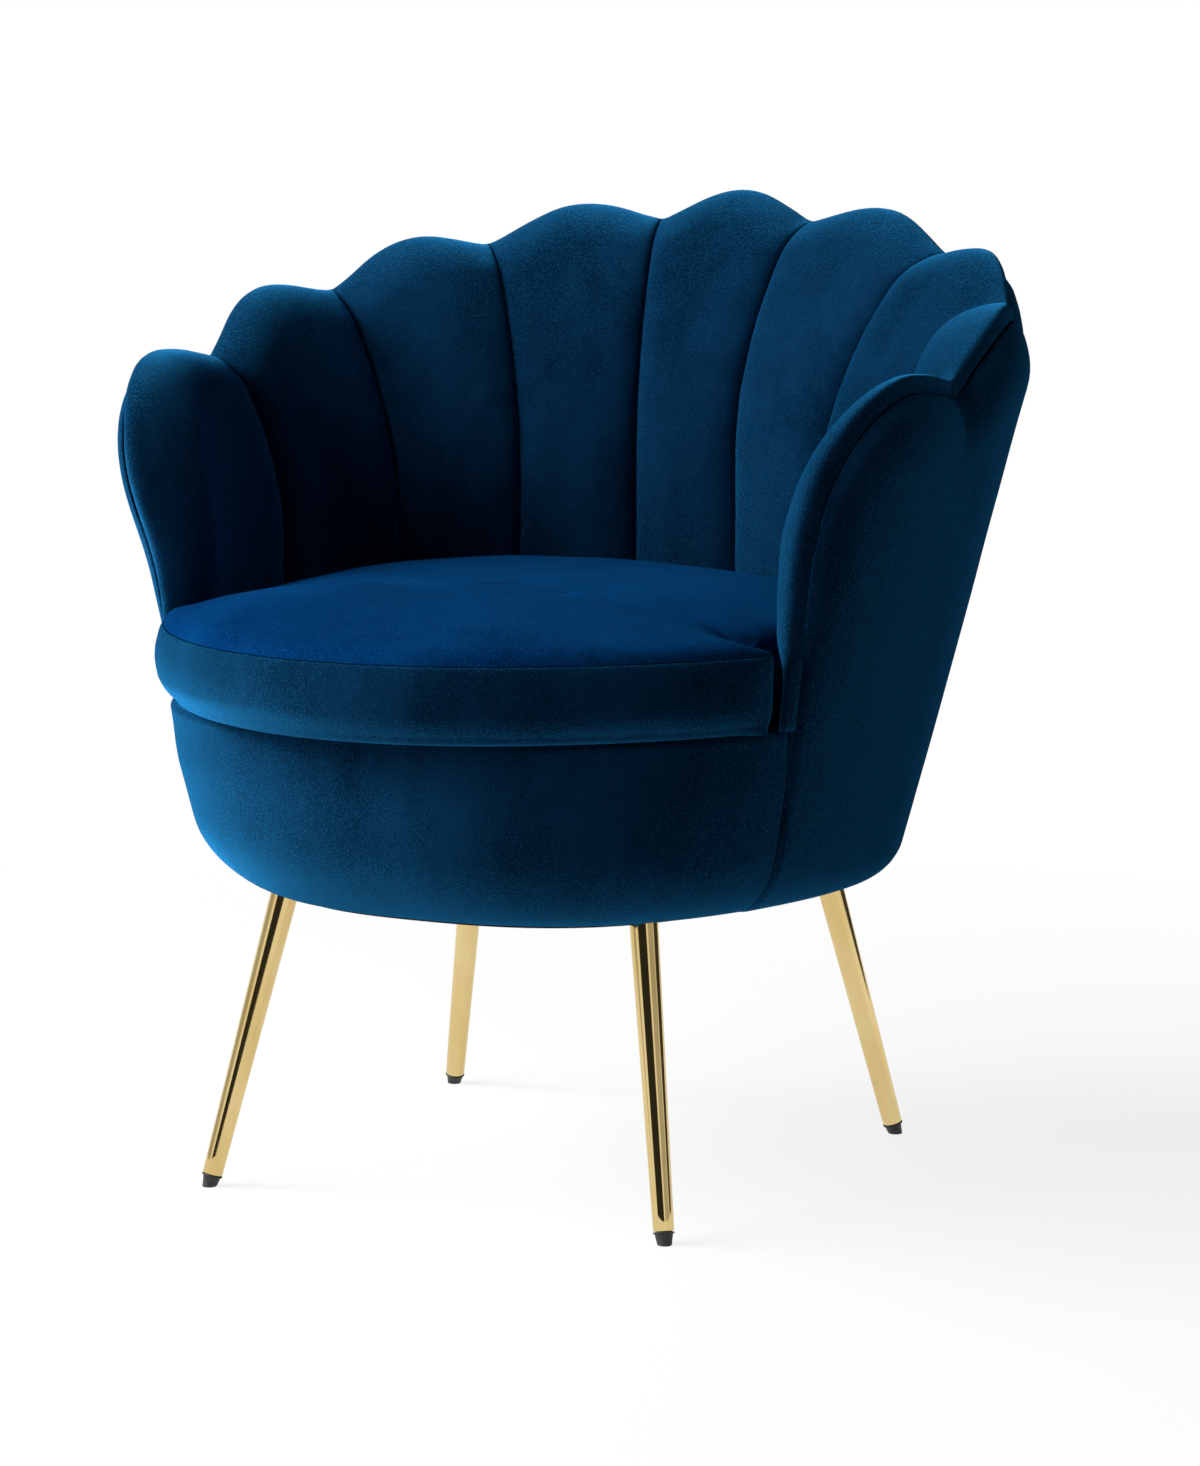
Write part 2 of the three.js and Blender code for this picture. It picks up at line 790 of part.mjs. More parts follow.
function armPad() {
  const sections = armStations().map((station, index) => {
    const at = (back) => ({
      run: station.run - back * station.normal.x,
      height: station.height - back * station.normal.y,
    });
    const entry = (spot, depth, flat) => {
      const angle = armAngle(spot.run) + (index === 0 || spot.run === 0 ? halfSeam : 0);
      return { flat, point: place(angle, spot.height, depth) };
    };
    const inner = (spot) => armDepth(spot.run, spot.height, armSwell(spot.run));
    const rollFoot = at(rollRadius);
    const reach = Math.hypot(rollFoot.run, rollFoot.height - padBottom);
    const section = fanShares.map((share) => {
      const spot = { run: rollFoot.run * share, height: padBottom + (rollFoot.height - padBottom) * share };
      const depth = inner(spot);
      return entry(spot, depth, new THREE.Vector2(depth, reach * share));
    });
    const rolled = (turn) => {
      const back = rollRadius * (1 - Math.sin(turn));
      const spot = at(back);
      const depth = rollDepth(inner(spot), armSwell(spot.run), turn);
      section.push(entry(spot, depth, new THREE.Vector2(depth, reach + rollRadius - back)));
    };
    for (let step = 1; step <= rollSteps; step += 1) rolled(Math.PI / 2 * step / rollSteps);
    for (let step = 1; step <= rollSteps - 1; step += 1) {
      rolled(Math.PI / 2 + (Math.PI / 2 - rollTurn) * step / (rollSteps - 1));
    }
    const depth = padBackDepth + armBackGap;
    for (const share of tuckShares) {
      const back = seamDrop + tuckRun * share;
      section.push(entry(at(back), depth, new THREE.Vector2(depth, reach + rollRadius - back)));
    }
    section.push(entry({ run: 0, height: padBottom }, depth, new THREE.Vector2(depth, 0)));
    return section;
  });
  return loftSections(sections);
}

// Front apron: a thinly padded velvet panel below the cushion, between the two upright seams
const frontSteps = 9;

function frontAngles(gap) {
  const start = coverEndAngle + gap;
  const half = [];
  for (let step = 0; step <= frontSteps; step += 1) {
    half.push(start + (Math.PI - start) * step / frontSteps);
  }
  return [...half, ...half.slice(0, -1).reverse().map((angle) => 2 * Math.PI - angle)];
}

function frontApron() {
  const sections = frontAngles(2 * halfSeam).map((angle) => {
    const turnIn = edgeRadius(angle);
    const outline = [
      [0, deckHeight],
      ...inwardRound(angle, 0, roundSteps),
      [turnIn + turnUnder, undersideHeight],
      [turnIn + turnUnder, undersideHeight + apronThickness],
      ...inwardRound(angle, apronThickness, roundSteps).reverse(),
      [apronThickness, deckHeight],
    ];
    return sectionAt(angle, outline);
  });
  return carve(loftSections(sections), legs.slice(0, 2).map(legSleeve));
}

// Rails round the seat frame, standing on the board and carrying the webbing
function railBody(angles, outerDepth, rounded) {
  const sections = angles.map((angle) => {
    const foot = wallInset(angle, railBottom, outerDepth);
    const roundTop = undersideHeight + edgeRadius(angle);
    const middle = (railBottom + roundTop) / 2;
    const round = rounded ? [[wallInset(angle, middle, outerDepth), middle], [outerDepth, roundTop]] : [];
    return sectionAt(angle, [
      [foot, railBottom],
      ...round,
      [outerDepth, railTop],
      [outerDepth + railThickness, railTop],
      [foot + railThickness, railBottom],
    ]);
  });
  return loftSections(sections);
}

function backAngles() {
  const columns = [...crestColumns(0, 3), ...armColumns()].map((column) => column.angle);
  return withMirror(columns.map((angle) => ({ angle }))).map((column) => column.angle);
}

function anglesBetween(from, to) {
  return [from, ...backAngles().filter((angle) => angle > from && angle < to), to];
}

// Level boards and cloths that fill the tub's plan
function planShape(height, backDepth, frontDepth) {
  const back = backAngles().filter((angle, index) => index % 2 === 0);
  const outline = [
    ...back.map((angle) => place(angle, height, wallInset(angle, height, backDepth))),
    ...frontAngles(0).slice(1, -1).map((angle) => place(angle, height, wallInset(angle, height, frontDepth))),
  ];
  return new THREE.Shape(outline.reverse().map((point) => new THREE.Vector2(point.x, point.y)));
}

function seatBoard() {
  const shape = planShape(boardUnderside, padBackDepth, apronThickness + roundGap);
  for (const leg of legs) {
    for (const point of plateScrewPoints(leg)) {
      shape.holes.push(circlePath(point, screwRadius + screwHoleGap, new THREE.Path()));
    }
  }
  return slab(shape, boardUnderside, boardThickness);
}

function seatDeck() {
  return slab(planShape(deckUnderside, padBackDepth, apronThickness + roundGap), deckUnderside, deckThickness);
}

function dustCover() {
  const bottom = undersideHeight - fitGap - dustThickness;
  const angles = [...backAngles(), ...frontAngles(0).slice(1, -1)].filter((angle, index) => index % 2 === 0);
  const outline = angles.map((angle) => place(angle, undersideHeight, edgeRadius(angle) + turnUnder - dustLap));
  const shape = new THREE.Shape(outline.reverse().map((point) => new THREE.Vector2(point.x, point.y)));
  return carve(slab(shape, bottom, dustThickness), legs.map(legSleeve));
}

// Elastic webbing, laid across the rails in two layers
const settlingPasses = 12;

function webbingStrap(bottom, offset, lengthwise) {
  const edge = Math.abs(offset) + webbingWidth / 2;
  const inset = slatInnerDepth + railThickness / 2;
  const reachAt = (quarter) => {
    let angle = quarter;
    for (let pass = 0; pass < settlingPasses; pass += 1) {
      const radius = wallRadius(angle, bottom) - inset;
      angle = lengthwise ? angleFor(edge / radius, quarter) : sideAngleFor(offset, edge, radius);
    }
    const radius = wallRadius(angle, bottom) - inset;
    return lengthwise ? Math.abs(radius * Math.cos(angle)) : Math.abs(radius * Math.sin(angle));
  };
  if (lengthwise) {
    const rear = reachAt(0);
    const front = reachAt(Math.PI);
    const geometry = new THREE.BoxGeometry(webbingWidth, rear + front, webbingThickness);
    geometry.translate(offset, (rear - front) / 2, bottom + webbingThickness / 2);
    return geometry;
  }
  const side = reachAt(Math.PI / 2);
  const geometry = new THREE.BoxGeometry(2 * side, webbingWidth, webbingThickness);
  geometry.translate(0, offset, bottom + webbingThickness / 2);
  return geometry;
}

function angleFor(share, quarter) {
  const turn = Math.asin(Math.min(1, share));
  return quarter === 0 ? turn : Math.PI - turn;
}

function sideAngleFor(offset, edge, radius) {
  return Math.acos(Math.min(1, edge / radius) * (offset < 0 ? -1 : 1));
}

// Seat cushion outline, right half from the rear middle to the front middle
function cushionHalfOutline() {
  const side = innerSideRadius - channelDepth - looseGap;
  const rear = innerRearRadius - channelDepth - looseGap;
  const points = [];
  const rearSteps = 9;
  for (let step = 0; step <= rearSteps; step += 1) {
    const angle = Math.PI / 2 * step / rearSteps;
    const radius = superellipse(angle, side, rear, innerPlanPower);
    points.push(new THREE.Vector2(radius * Math.sin(angle), radius * Math.cos(angle)));
  }
  const neck = armNeck();
  const sideSteps = 4;
  for (let step = 0; step <= sideSteps; step += 1) {
    const run = armSpan * step / sideSteps;
    const radius = wallRadius(armAngle(run), padBottom) - armDepth(run, padBottom, 1) - looseGap;
    points.push(new THREE.Vector2(radius * Math.sin(armAngle(run)), radius * Math.cos(armAngle(run))));
  }
  points.push(new THREE.Vector2(points[points.length - 1].x, neck));
  const cornerSteps = 4;
  const startTurn = Math.asin((earCornerRadius - neck) / cushionFrontReach);
  const earHalfWidth = cushionFrontHalfWidth * Math.cos(startTurn);
  const centre = new THREE.Vector2(earHalfWidth - earCornerRadius, neck - earCornerRadius);
  for (let step = 0; step <= cornerSteps; step += 1) {
    const turn = Math.PI / 2 * (1 - step / cornerSteps);
    points.push(new THREE.Vector2(
      centre.x + earCornerRadius * Math.cos(turn),
      centre.y + earCornerRadius * Math.sin(turn),
    ));
  }
  const noseSteps = 12;
  for (let step = 1; step <= noseSteps; step += 1) {
    const turn = startTurn + (Math.PI / 2 - startTurn) * step / noseSteps;
    points.push(new THREE.Vector2(
      cushionFrontHalfWidth * Math.cos(turn),
      -cushionFrontReach * Math.sin(turn),
    ));
  }
  return points;
}

// The neck of the T lies just ahead of the arm pads' rolled front edges
function armNeck() {
  return wallLine(armFrontAngle, cushionSeamHeight) * Math.cos(armFrontAngle) - looseGap;
}

function cushionOutline() {
  const right = cushionHalfOutline();
  const left = right.slice(1, -1).map((point) => new THREE.Vector2(-point.x, point.y)).reverse();
  return [...right, ...left];
}

function outlineNormals(outline) {
  return outline.map((point, index) => {
    const before = outline[(index + outline.length - 1) % outline.length];
    const after = outline[(index + 1) % outline.length];
    const first = point.clone().sub(before).normalize();
    const second = after.clone().sub(point).normalize();
    const along = first.add(second).normalize();
    return new THREE.Vector2(-along.y, along.x);
  });
}

// Cushion body as rings from the middle of its underside to the middle of its crown
function cushionBody(shrink, plain) {
  const outline = cushionOutline();
  const normals = outlineNormals(outline);
  const middle = new THREE.Vector2(0, armNeck() - earCornerRadius);
  const bottom = cushionBottom + shrink;
  const seam = cushionSeamHeight - shrink;
  const top = cushionCrownHeight - shrink;
  const bulge = (height) => borderBulge * Math.sin(Math.PI * (height - bottom) / (seam - bottom));
  const rings = [
    { share: undersideShare, inset: 0, height: bottom },
    { share: 1, inset: lowerEdgeRadius, height: bottom },
    { share: 1, inset: lowerEdgeRadius * roundShare, height: bottom + lowerEdgeRadius * roundShare },
    { share: 1, inset: -bulge(bottom + lowerEdgeRadius), height: bottom + lowerEdgeRadius },
    { share: 1, inset: -bulge((bottom + seam) / 2), height: (bottom + seam) / 2 },
    { share: 1, inset: 0, height: seam },
    ...crownRingShares.map(([share, rise]) => ({ share, inset: 0, height: seam + (top - seam) * rise })),
  ];
  const plainRings = [
    { share: 1, inset: lowerEdgeRadius / 2, height: bottom },
    { share: 1, inset: 0, height: bottom + lowerEdgeRadius / 2 },
    { share: 1, inset: 0, height: seam },
    ...crownRingShares.slice(1).map(([share, rise]) => ({ share, inset: 0, height: seam + (top - seam) * rise })),
  ];
  return ringedBody(outline, normals, middle, plain ? plainRings : rings, shrink);
}

function ringedBody(outline, normals, middle, rings, shrink) {
  const bottom = rings[0].height;
  const top = rings[rings.length - 1].height;
  const points = [new THREE.Vector3(middle.x, middle.y, bottom)];
  for (const ring of rings) {
    outline.forEach((spot, index) => {
      const nose = spot.y < armNeck() - fitGap;
      const inset = nose ? ring.inset : Math.max(0, ring.inset);
      const base = spot.clone().addScaledVector(normals[index], -(inset + shrink));
      base.sub(middle).multiplyScalar(ring.share).add(middle);
      points.push(new THREE.Vector3(base.x, base.y, ring.height));
    });
  }
  points.push(new THREE.Vector3(middle.x, middle.y, top));
  const count = outline.length;
  const triangles = [];
  for (let slot = 0; slot < count; slot += 1) {
    const next = (slot + 1) % count;
    triangles.push([0, 1 + next, 1 + slot]);
    for (let row = 0; row + 1 < rings.length; row += 1) {
      const a = 1 + row * count + slot;
      const b = 1 + row * count + next;
      triangles.push([a, b, b + count], [a, b + count, a + count]);
    }
    const last = 1 + (rings.length - 1) * count;
    triangles.push([last + slot, last + next, points.length - 1]);
  }
  return bodyFrom(points, triangles);
}

// The zip's opening in the middle of the cushion's rear border
function zipOpening() {
  const rear = innerRearRadius - channelDepth - looseGap;
  const geometry = new THREE.BoxGeometry(zipLength, 2 * cushionCoverThickness, zipHeight);
  geometry.translate(0, rear - cushionCoverThickness / 2, (cushionBottom + cushionSeamHeight) / 2);
  return geometry;
}

function cushionCover() {
  return carve(cushionBody(0, false), [cushionBody(cushionCoverThickness, true), zipOpening()]);
}

// Assembly
const chair = new THREE.Group();

function add(name, geometry, material) {
  const mesh = new THREE.Mesh(geometry, material);
  mesh.name = name;
  chair.add(mesh);
}

const velvet = () => finish(velvetColour, 0.75, 0);
const timber = () => finish(timberColour, 0.7, 0);

for (let lobe = 0; lobe < lobeEdges.length - 1; lobe += 1) {
  const pad = channelPad(lobe);
  const slat = slatBody(trimmedColumns(crestColumns(lobe, lobe)));
  const rightNumber = 5 + lobe;
  add(`channel_pad_${rightNumber}`, pad, velvet());
  add(`back_slat_${rightNumber}`, slat, timber());
  if (lobe > 0) {
    add(`channel_pad_${channelCount + 1 - rightNumber}`, mirrored(pad), velvet());
    add(`back_slat_${channelCount + 1 - rightNumber}`, mirrored(slat), timber());
  }
}
const endPad = armPad();
const lastSeam = { angle: seamAngles[3], swell: 0, top: seamHeights[3] - seamDrop - fitGap };
const endSlat = slatBody(trimmedColumns([lastSeam, ...armColumns()]));
add(`channel_pad_${channelCount}`, endPad, velvet());
add('channel_pad_1', mirrored(endPad), velvet());
add(`back_slat_${channelCount}`, endSlat, timber());
add('back_slat_1', mirrored(endSlat), timber());

add('outside_cover', outsideCover(), velvet());
add('front_apron', frontApron(), velvet());
add('seat_board', seatBoard(), timber());
add('front_rail', railBody(frontAngles(2 * halfSeam), apronThickness + roundGap, true), timber());
const rearAngles = anglesBetween(-sideRailAngle + halfSeam, sideRailAngle - halfSeam);
add('rear_rail', railBody(rearAngles, padBackDepth, false), timber());
const sideAngles = anglesBetween(sideRailAngle + halfSeam, coverEndAngle - halfSeam);
const sideRail = railBody(sideAngles, padBackDepth, false);
add('right_rail', sideRail, timber());
add('left_rail', mirrored(sideRail), timber());
[-1, 0, 1].forEach((slot, index) => {
  const cross = webbingStrap(lowerWebbingHeight, slot * webbingPitch - webbingWidth, false);
  add(`cross_webbing_${index + 1}`, cross, finish(webbingColour, 0.9, 0));
});
[-1, 1].forEach((slot, index) => {
  const long = webbingStrap(upperWebbingHeight, slot * webbingPitch / 2, true);
  add(`long_webbing_${index + 1}`, long, finish(webbingColour, 0.9, 0));
});
add('seat_deck', seatDeck(), finish(clothColour, 0.95, 0));
add('dust_cover', dustCover(), finish(clothColour, 0.95, 0));

add('cushion_cover', cushionCover(), velvet());
add('cushion_core', cushionBody(cushionCoverThickness + fitGap, true), finish(foamColour, 0.95, 0));

for (const leg of legs) {
  add(`leg_${leg.name}`, legTube(leg), finish(goldColour, 0.22, 1));
  add(`foot_cap_${leg.name}`, footCap(leg), finish(plasticColour, 0.6, 0));
  add(`leg_plate_${leg.name}`, slab(plateShape(leg), plateUnderside, plateThickness), finish(steelColour, 0.4, 1));
  plateScrewPoints(leg).forEach((point, index) => {
    add(`leg_screw_${leg.name}_${index + 1}`, screwBody(point), finish(steelColour, 0.4, 1));
  });
}

const bounds = new THREE.Box3().setFromObject(chair);
chair.position.y = -(bounds.min.y + bounds.max.y) / 2;

export default chair;
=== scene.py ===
import math

import bpy
import numpy as np
from mathutils import Matrix, Vector, noise
from mathutils.kdtree import KDTree


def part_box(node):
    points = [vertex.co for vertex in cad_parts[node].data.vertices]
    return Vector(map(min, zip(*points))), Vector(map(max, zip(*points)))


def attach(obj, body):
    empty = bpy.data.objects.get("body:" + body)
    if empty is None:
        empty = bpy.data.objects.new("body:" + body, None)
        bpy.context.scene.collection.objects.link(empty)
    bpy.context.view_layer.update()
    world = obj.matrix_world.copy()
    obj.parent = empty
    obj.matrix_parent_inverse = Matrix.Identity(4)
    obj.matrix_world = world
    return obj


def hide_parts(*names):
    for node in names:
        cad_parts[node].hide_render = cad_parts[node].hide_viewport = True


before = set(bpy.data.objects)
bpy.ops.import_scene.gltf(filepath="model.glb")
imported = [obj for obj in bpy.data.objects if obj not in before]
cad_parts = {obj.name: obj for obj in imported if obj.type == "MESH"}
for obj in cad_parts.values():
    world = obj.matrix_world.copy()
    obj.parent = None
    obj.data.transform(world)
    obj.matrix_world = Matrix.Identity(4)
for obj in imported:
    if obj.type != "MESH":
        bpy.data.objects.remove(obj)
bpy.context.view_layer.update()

# Scallop back tub chair, dressed. Metres, +Z up, front towards -Y. Angles round the tub are
# measured at its upright axis, from the middle of the back towards +X.

TUB = "tub_and_legs"
CUSHION = "seat_cushion"

# The second cross webbing lies this far in front of the tub's axis, which gives the axis its place
WEBBING_OFFSET = 0.05
webbing_low, webbing_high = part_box("cross_webbing_2")
axis_y = (webbing_low.y + webbing_high.y) / 2 + WEBBING_OFFSET

# Outer wall: plan radii at the underside, and growth for each unit of height
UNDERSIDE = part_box("outside_cover")[0].z
SIDE_RADIUS, REAR_RADIUS, FRONT_RADIUS = 0.249, 0.196, 0.330
SIDE_LEAN, REAR_LEAN, FRONT_LEAN = 0.259, 0.2345, 0.21
REAR_POWER, FRONT_POWER, INNER_POWER = 2.08, 2.5, 1.8
REAR_EDGE_RADIUS, FRONT_EDGE_RADIUS = 0.030, 0.065
TURN_UNDER = 0.015

# Grooves between the channels, and the scalloped crest
SIDE_PAD_FOOT, REAR_PAD_FOOT = 0.025, 0.044
SEAM_ANGLES = np.radians([14.2, 43, 68, 97])
SEAM_HEIGHTS = np.array([0.732, 0.710, 0.673, 0.625])
LOBE_EDGES = np.concatenate([[-SEAM_ANGLES[0]], SEAM_ANGLES])
LOBE_FEET = np.concatenate([[SEAM_HEIGHTS[0]], SEAM_HEIGHTS])
LOBE_RISES = np.array([0.025, 0.022, 0.022, 0.026])
LOBE_POWER = 1.25
FLARE_REACHES = np.array([0.075, 0.078, 0.076, 0.046])
FLARE_DROPS = np.array([0.190, 0.190, 0.205, 0.160])

# Arm ends
ARM_TOP = 0.633
ARM_FRONT_ANGLE = math.radians(127.4)
ARM_ARC_RADIUS = 0.330
ARM_CORNER_RUN, ARM_CORNER_DROP = 0.110, 0.130
ARM_CROWN_RUN = 0.062
ARM_TAPER = 0.14

# Padding
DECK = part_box("front_apron")[1].z
PAD_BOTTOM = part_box("channel_pad_5")[0].z
CHANNEL_DEPTH, SEAT_CHANNEL_DEPTH, CHANNEL_FLAT_RUN = 0.017, 0.012, 0.2
CROWN_POWER = 2.4
ROLL_RADIUS, ROLL_BULGE, RIDGE_SHARE = 0.027, 0.0015, 0.30
SEAM_DROP = 0.014
CREST_TUCK, TUCK_RUN = 0.0235, 0.052
PAD_BACK = 0.0157
COVER_THICKNESS = 0.0022
APRON_THICKNESS = 0.007


def linear(colour):
    """A display colour, 0 to 255, as the scene-linear colour that shaders take."""
    return tuple(((c / 255 + 0.055) / 1.055) ** 2.4 if c > 10 else c / 255 / 12.92 for c in colour)


# Plan and crest curves

def oval(angle, side, end, power):
    across = np.abs(np.sin(angle)) / side
    along = np.abs(np.cos(angle)) / end
    return (across ** power + along ** power) ** (-1 / power)


def smooth(share):
    clipped = np.clip(share, 0, 1)
    return clipped * clipped * (3 - 2 * clipped)


def wall_line(angle, height):
    rise = height - UNDERSIDE
    side = SIDE_RADIUS + SIDE_LEAN * rise
    rear = oval(angle, side, REAR_RADIUS + REAR_LEAN * rise, REAR_POWER)
    front = oval(angle, side, FRONT_RADIUS + FRONT_LEAN * rise, FRONT_POWER)
    return np.where(np.cos(angle) >= 0, rear, front)


def crest_height(angle):
    turn = np.abs(np.asarray(angle, float))
    lobe = np.clip(np.searchsorted(LOBE_EDGES, turn) - 1, 0, len(LOBE_RISES) - 1)
    share = np.clip((turn - LOBE_EDGES[lobe]) / (LOBE_EDGES[lobe + 1] - LOBE_EDGES[lobe]), 0, 1)
    seam = LOBE_FEET[lobe] * (1 - share) + LOBE_FEET[lobe + 1] * share
    return seam + LOBE_RISES[lobe] * np.abs(np.sin(np.pi * share)) ** LOBE_POWER


# Along an arm, `run` is the way round the wall from the arm's first seam, and `angle` the place round the tub

def arm_angle(run):
    return SEAM_ANGLES[3] + run / ARM_ARC_RADIUS


def arm_run(angle):
    return (angle - SEAM_ANGLES[3]) * ARM_ARC_RADIUS


ARM_SPAN = arm_run(ARM_FRONT_ANGLE)
ARM_CREST_RUN = ARM_SPAN - ARM_CORNER_RUN


def arm_crest(run):
    share = np.clip(run / ARM_CREST_RUN, 0, 1)
    return SEAM_HEIGHTS[3] + (ARM_TOP - SEAM_HEIGHTS[3]) * np.sin(np.pi / 2 * share)


def edge_drop(angle, height):
    """How far a place on the wall lies below the crest, or behind the arm's front edge."""
    turn = np.abs(angle)
    run = arm_run(turn)
    along = np.maximum(0, (run - ARM_CREST_RUN) / ARM_CORNER_RUN)
    up = np.maximum(0, 1 - (arm_crest(run) - height) / ARM_CORNER_DROP)
    arm = ARM_CORNER_DROP * (1 - np.hypot(along, up))
    return np.where(turn <= SEAM_ANGLES[3], crest_height(turn) - height, arm)


def tuck(angle, height):
    rise = np.clip((height - DECK) / (ARM_TOP - DECK), 0, 1)
    shoulder = np.clip(1 - (edge_drop(angle, height) - SEAM_DROP) / TUCK_RUN, 0, 1)
    return CREST_TUCK * rise * shoulder ** 2


def round_axis(angle, radius, height):
    return np.stack([radius * np.sin(angle), axis_y + radius * np.cos(angle), height + 0 * radius], -1)


def place(angle, height, inset):
    """Points on the tub's wall, `inset` inside its drawn-in line."""
    return round_axis(angle, wall_line(angle, height) - tuck(angle, height) - inset, height)


def edge_radius(angle):
    return REAR_EDGE_RADIUS + (FRONT_EDGE_RADIUS - REAR_EDGE_RADIUS) * smooth(-np.cos(angle))


DECK_RISE = DECK - UNDERSIDE
INNER_SIDE = SIDE_RADIUS + SIDE_LEAN * DECK_RISE - SIDE_PAD_FOOT
INNER_REAR = REAR_RADIUS + REAR_LEAN * DECK_RISE - REAR_PAD_FOOT


def flare(angle, height):
    turn = np.abs(angle)
    drop = np.interp(turn, SEAM_ANGLES, SEAM_HEIGHTS) - height
    share = np.maximum(0, 1 - drop / np.interp(turn, SEAM_ANGLES, FLARE_DROPS))
    return np.interp(turn, SEAM_ANGLES, FLARE_REACHES) * share ** 2


def channel_depth(height):
    """Channels are pulled flatter towards the seat."""
    rise = smooth((height - DECK) / CHANNEL_FLAT_RUN)
    return SEAT_CHANNEL_DEPTH + (CHANNEL_DEPTH - SEAT_CHANNEL_DEPTH) * rise


def groove_depth(angle, height):
    turn = np.minimum(np.abs(angle), np.pi / 2)
    inner = oval(turn, INNER_SIDE, INNER_REAR, INNER_POWER) + flare(angle, height)
    return wall_line(turn, height) - inner - tuck(angle, height)


def crown(share):
    return np.maximum(0, 1 - np.abs(2 * share - 1) ** CROWN_POWER) ** (1 / CROWN_POWER)


def arm_swell(run):
    return crown(np.clip(run / ARM_CROWN_RUN, 0, 1) / 2)


def arm_depth(run, height):
    taper = 1 - ARM_TAPER * np.maximum(0, run) / ARM_SPAN
    inner = INNER_SIDE + flare(SEAM_ANGLES[3], height)
    depth = wall_line(np.pi / 2, height) - inner + channel_depth(height) * arm_swell(run)
    return depth * taper - tuck(arm_angle(run), height)


ARM_FOOT_TOP, ARM_FOOT_RUN, ARM_FOOT_DEPTH, ARM_FOOT_SHARE = 0.446, 0.034, 0.045, 0.57


def arm_foot(run, height):
    """Share left of the arm's thickness: its front edge thins out beside the cushion."""
    low = smooth((ARM_FOOT_TOP - height) / ARM_FOOT_RUN)
    return 1 - ARM_FOOT_SHARE * low * smooth((run - ARM_SPAN + ARM_FOOT_DEPTH) / ARM_FOOT_DEPTH)


# Meshes from grids of points

def ripple(points, scale, seed, stretch=(1, 1, 1)):
    """Smooth noise from -1 to 1 at each point."""
    flat = points.reshape(-1, 3) * np.array(stretch) * scale
    shift = Vector((seed * 3.7, seed * 1.3, seed * 2.1))
    values = [noise.noise(Vector(point) + shift) for point in flat]
    return np.array(values).reshape(points.shape[:-1])


def waves(points, rows, seed=0):
    """Ripples added up, from rows of height, fineness, seed and, where it isn't even, stretch."""
    return sum(tall * ripple(points, scale, seed + step, *stretch) for tall, scale, step, *stretch in rows)


def upward(lift):
    """Upright steps as points."""
    return np.stack([0 * lift, 0 * lift, lift], -1)


def grid_normals(points):
    normal = np.cross(np.gradient(points, axis=0), np.gradient(points, axis=1))
    return normal / np.maximum(np.linalg.norm(normal, axis=-1, keepdims=True), 1e-12)


def vectors_of(mesh, label="co"):
    values = np.zeros(len(mesh.vertices) * 3)
    mesh.vertices.foreach_get(label, values)
    return values.reshape(-1, 3)


def in_scene(name, data):
    thing = bpy.data.objects.new(name, data)
    bpy.context.scene.collection.objects.link(thing)
    return thing


def new_piece(name, vertices, faces, material, body, slot, replaced=()):
    mesh = bpy.data.meshes.new(name)
    mesh.from_pydata([tuple(v) for v in vertices], [], [tuple(f) for f in faces])
    mesh.validate()
    for polygon in mesh.polygons:
        polygon.use_smooth = True
    piece = in_scene(name, mesh)
    outward(piece)
    mesh.materials.append(material)
    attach(piece, body)
    if replaced:
        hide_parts(*replaced)
    return piece


def outward(piece):
    """Turns a closed mesh's faces outwards."""
    mesh = piece.data
    mesh.calc_loop_triangles()
    corners = np.array([triangle.vertices[:] for triangle in mesh.loop_triangles])
    a, b, c = (vectors_of(mesh)[corners[:, corner]] for corner in range(3))
    if (a * np.cross(b, c)).sum() < 0:
        mesh.flip_normals()


def shell(front, back):
    """A closed skin between two grids of points of the same size: its points and its faces."""
    rows, columns = front.shape[:2]
    count = rows * columns
    index = np.arange(count).reshape(rows, columns)
    a, b, c, d = (part.ravel() for part in (index[:-1, :-1], index[1:, :-1], index[1:, 1:], index[:-1, 1:]))
    rim = np.concatenate([index[0, :-1], index[:-1, -1], index[-1, :0:-1], index[:0:-1, 0]])
    after = np.roll(rim, -1)
    faces = [np.stack([a, b, c, d], 1), np.stack([d, c, b, a], 1) + count,
             np.stack([rim, after, after + count, rim + count], 1)]
    return np.concatenate([front.reshape(-1, 3), back.reshape(-1, 3)]), np.concatenate(faces).tolist()


def ring_faces(rows, count):
    """Faces between closed rings of points; the last row of them joins the last ring to the first."""
    index = np.arange(rows * count).reshape(rows, count)
    after = np.roll(index, -1, 1)
    return np.stack([index, after, np.roll(after, -1, 0), np.roll(index, -1, 0)], -1).reshape(-1, 4).tolist()


def capped_faces(rows, count):
    """Faces of a stack of rings whose ends are closed by flat caps."""
    last = (rows - 1) * count
    return ring_faces(rows, count)[:last] + [list(range(count))[::-1], list(range(last, last + count))]


def crowded(count, ends=1.0):
    """Shares from 0 to 1 that crowd towards both ends."""
    even = np.linspace(0, 1, count)
    return (1 - ends) * even + ends * (1 - np.cos(np.pi * even)) / 2


# Shader groups

BLACK = (0, 0, 0, 1)
KINDS = {1: "NodeSocketFloat", 3: "NodeSocketVector", 4: "NodeSocketColor"}


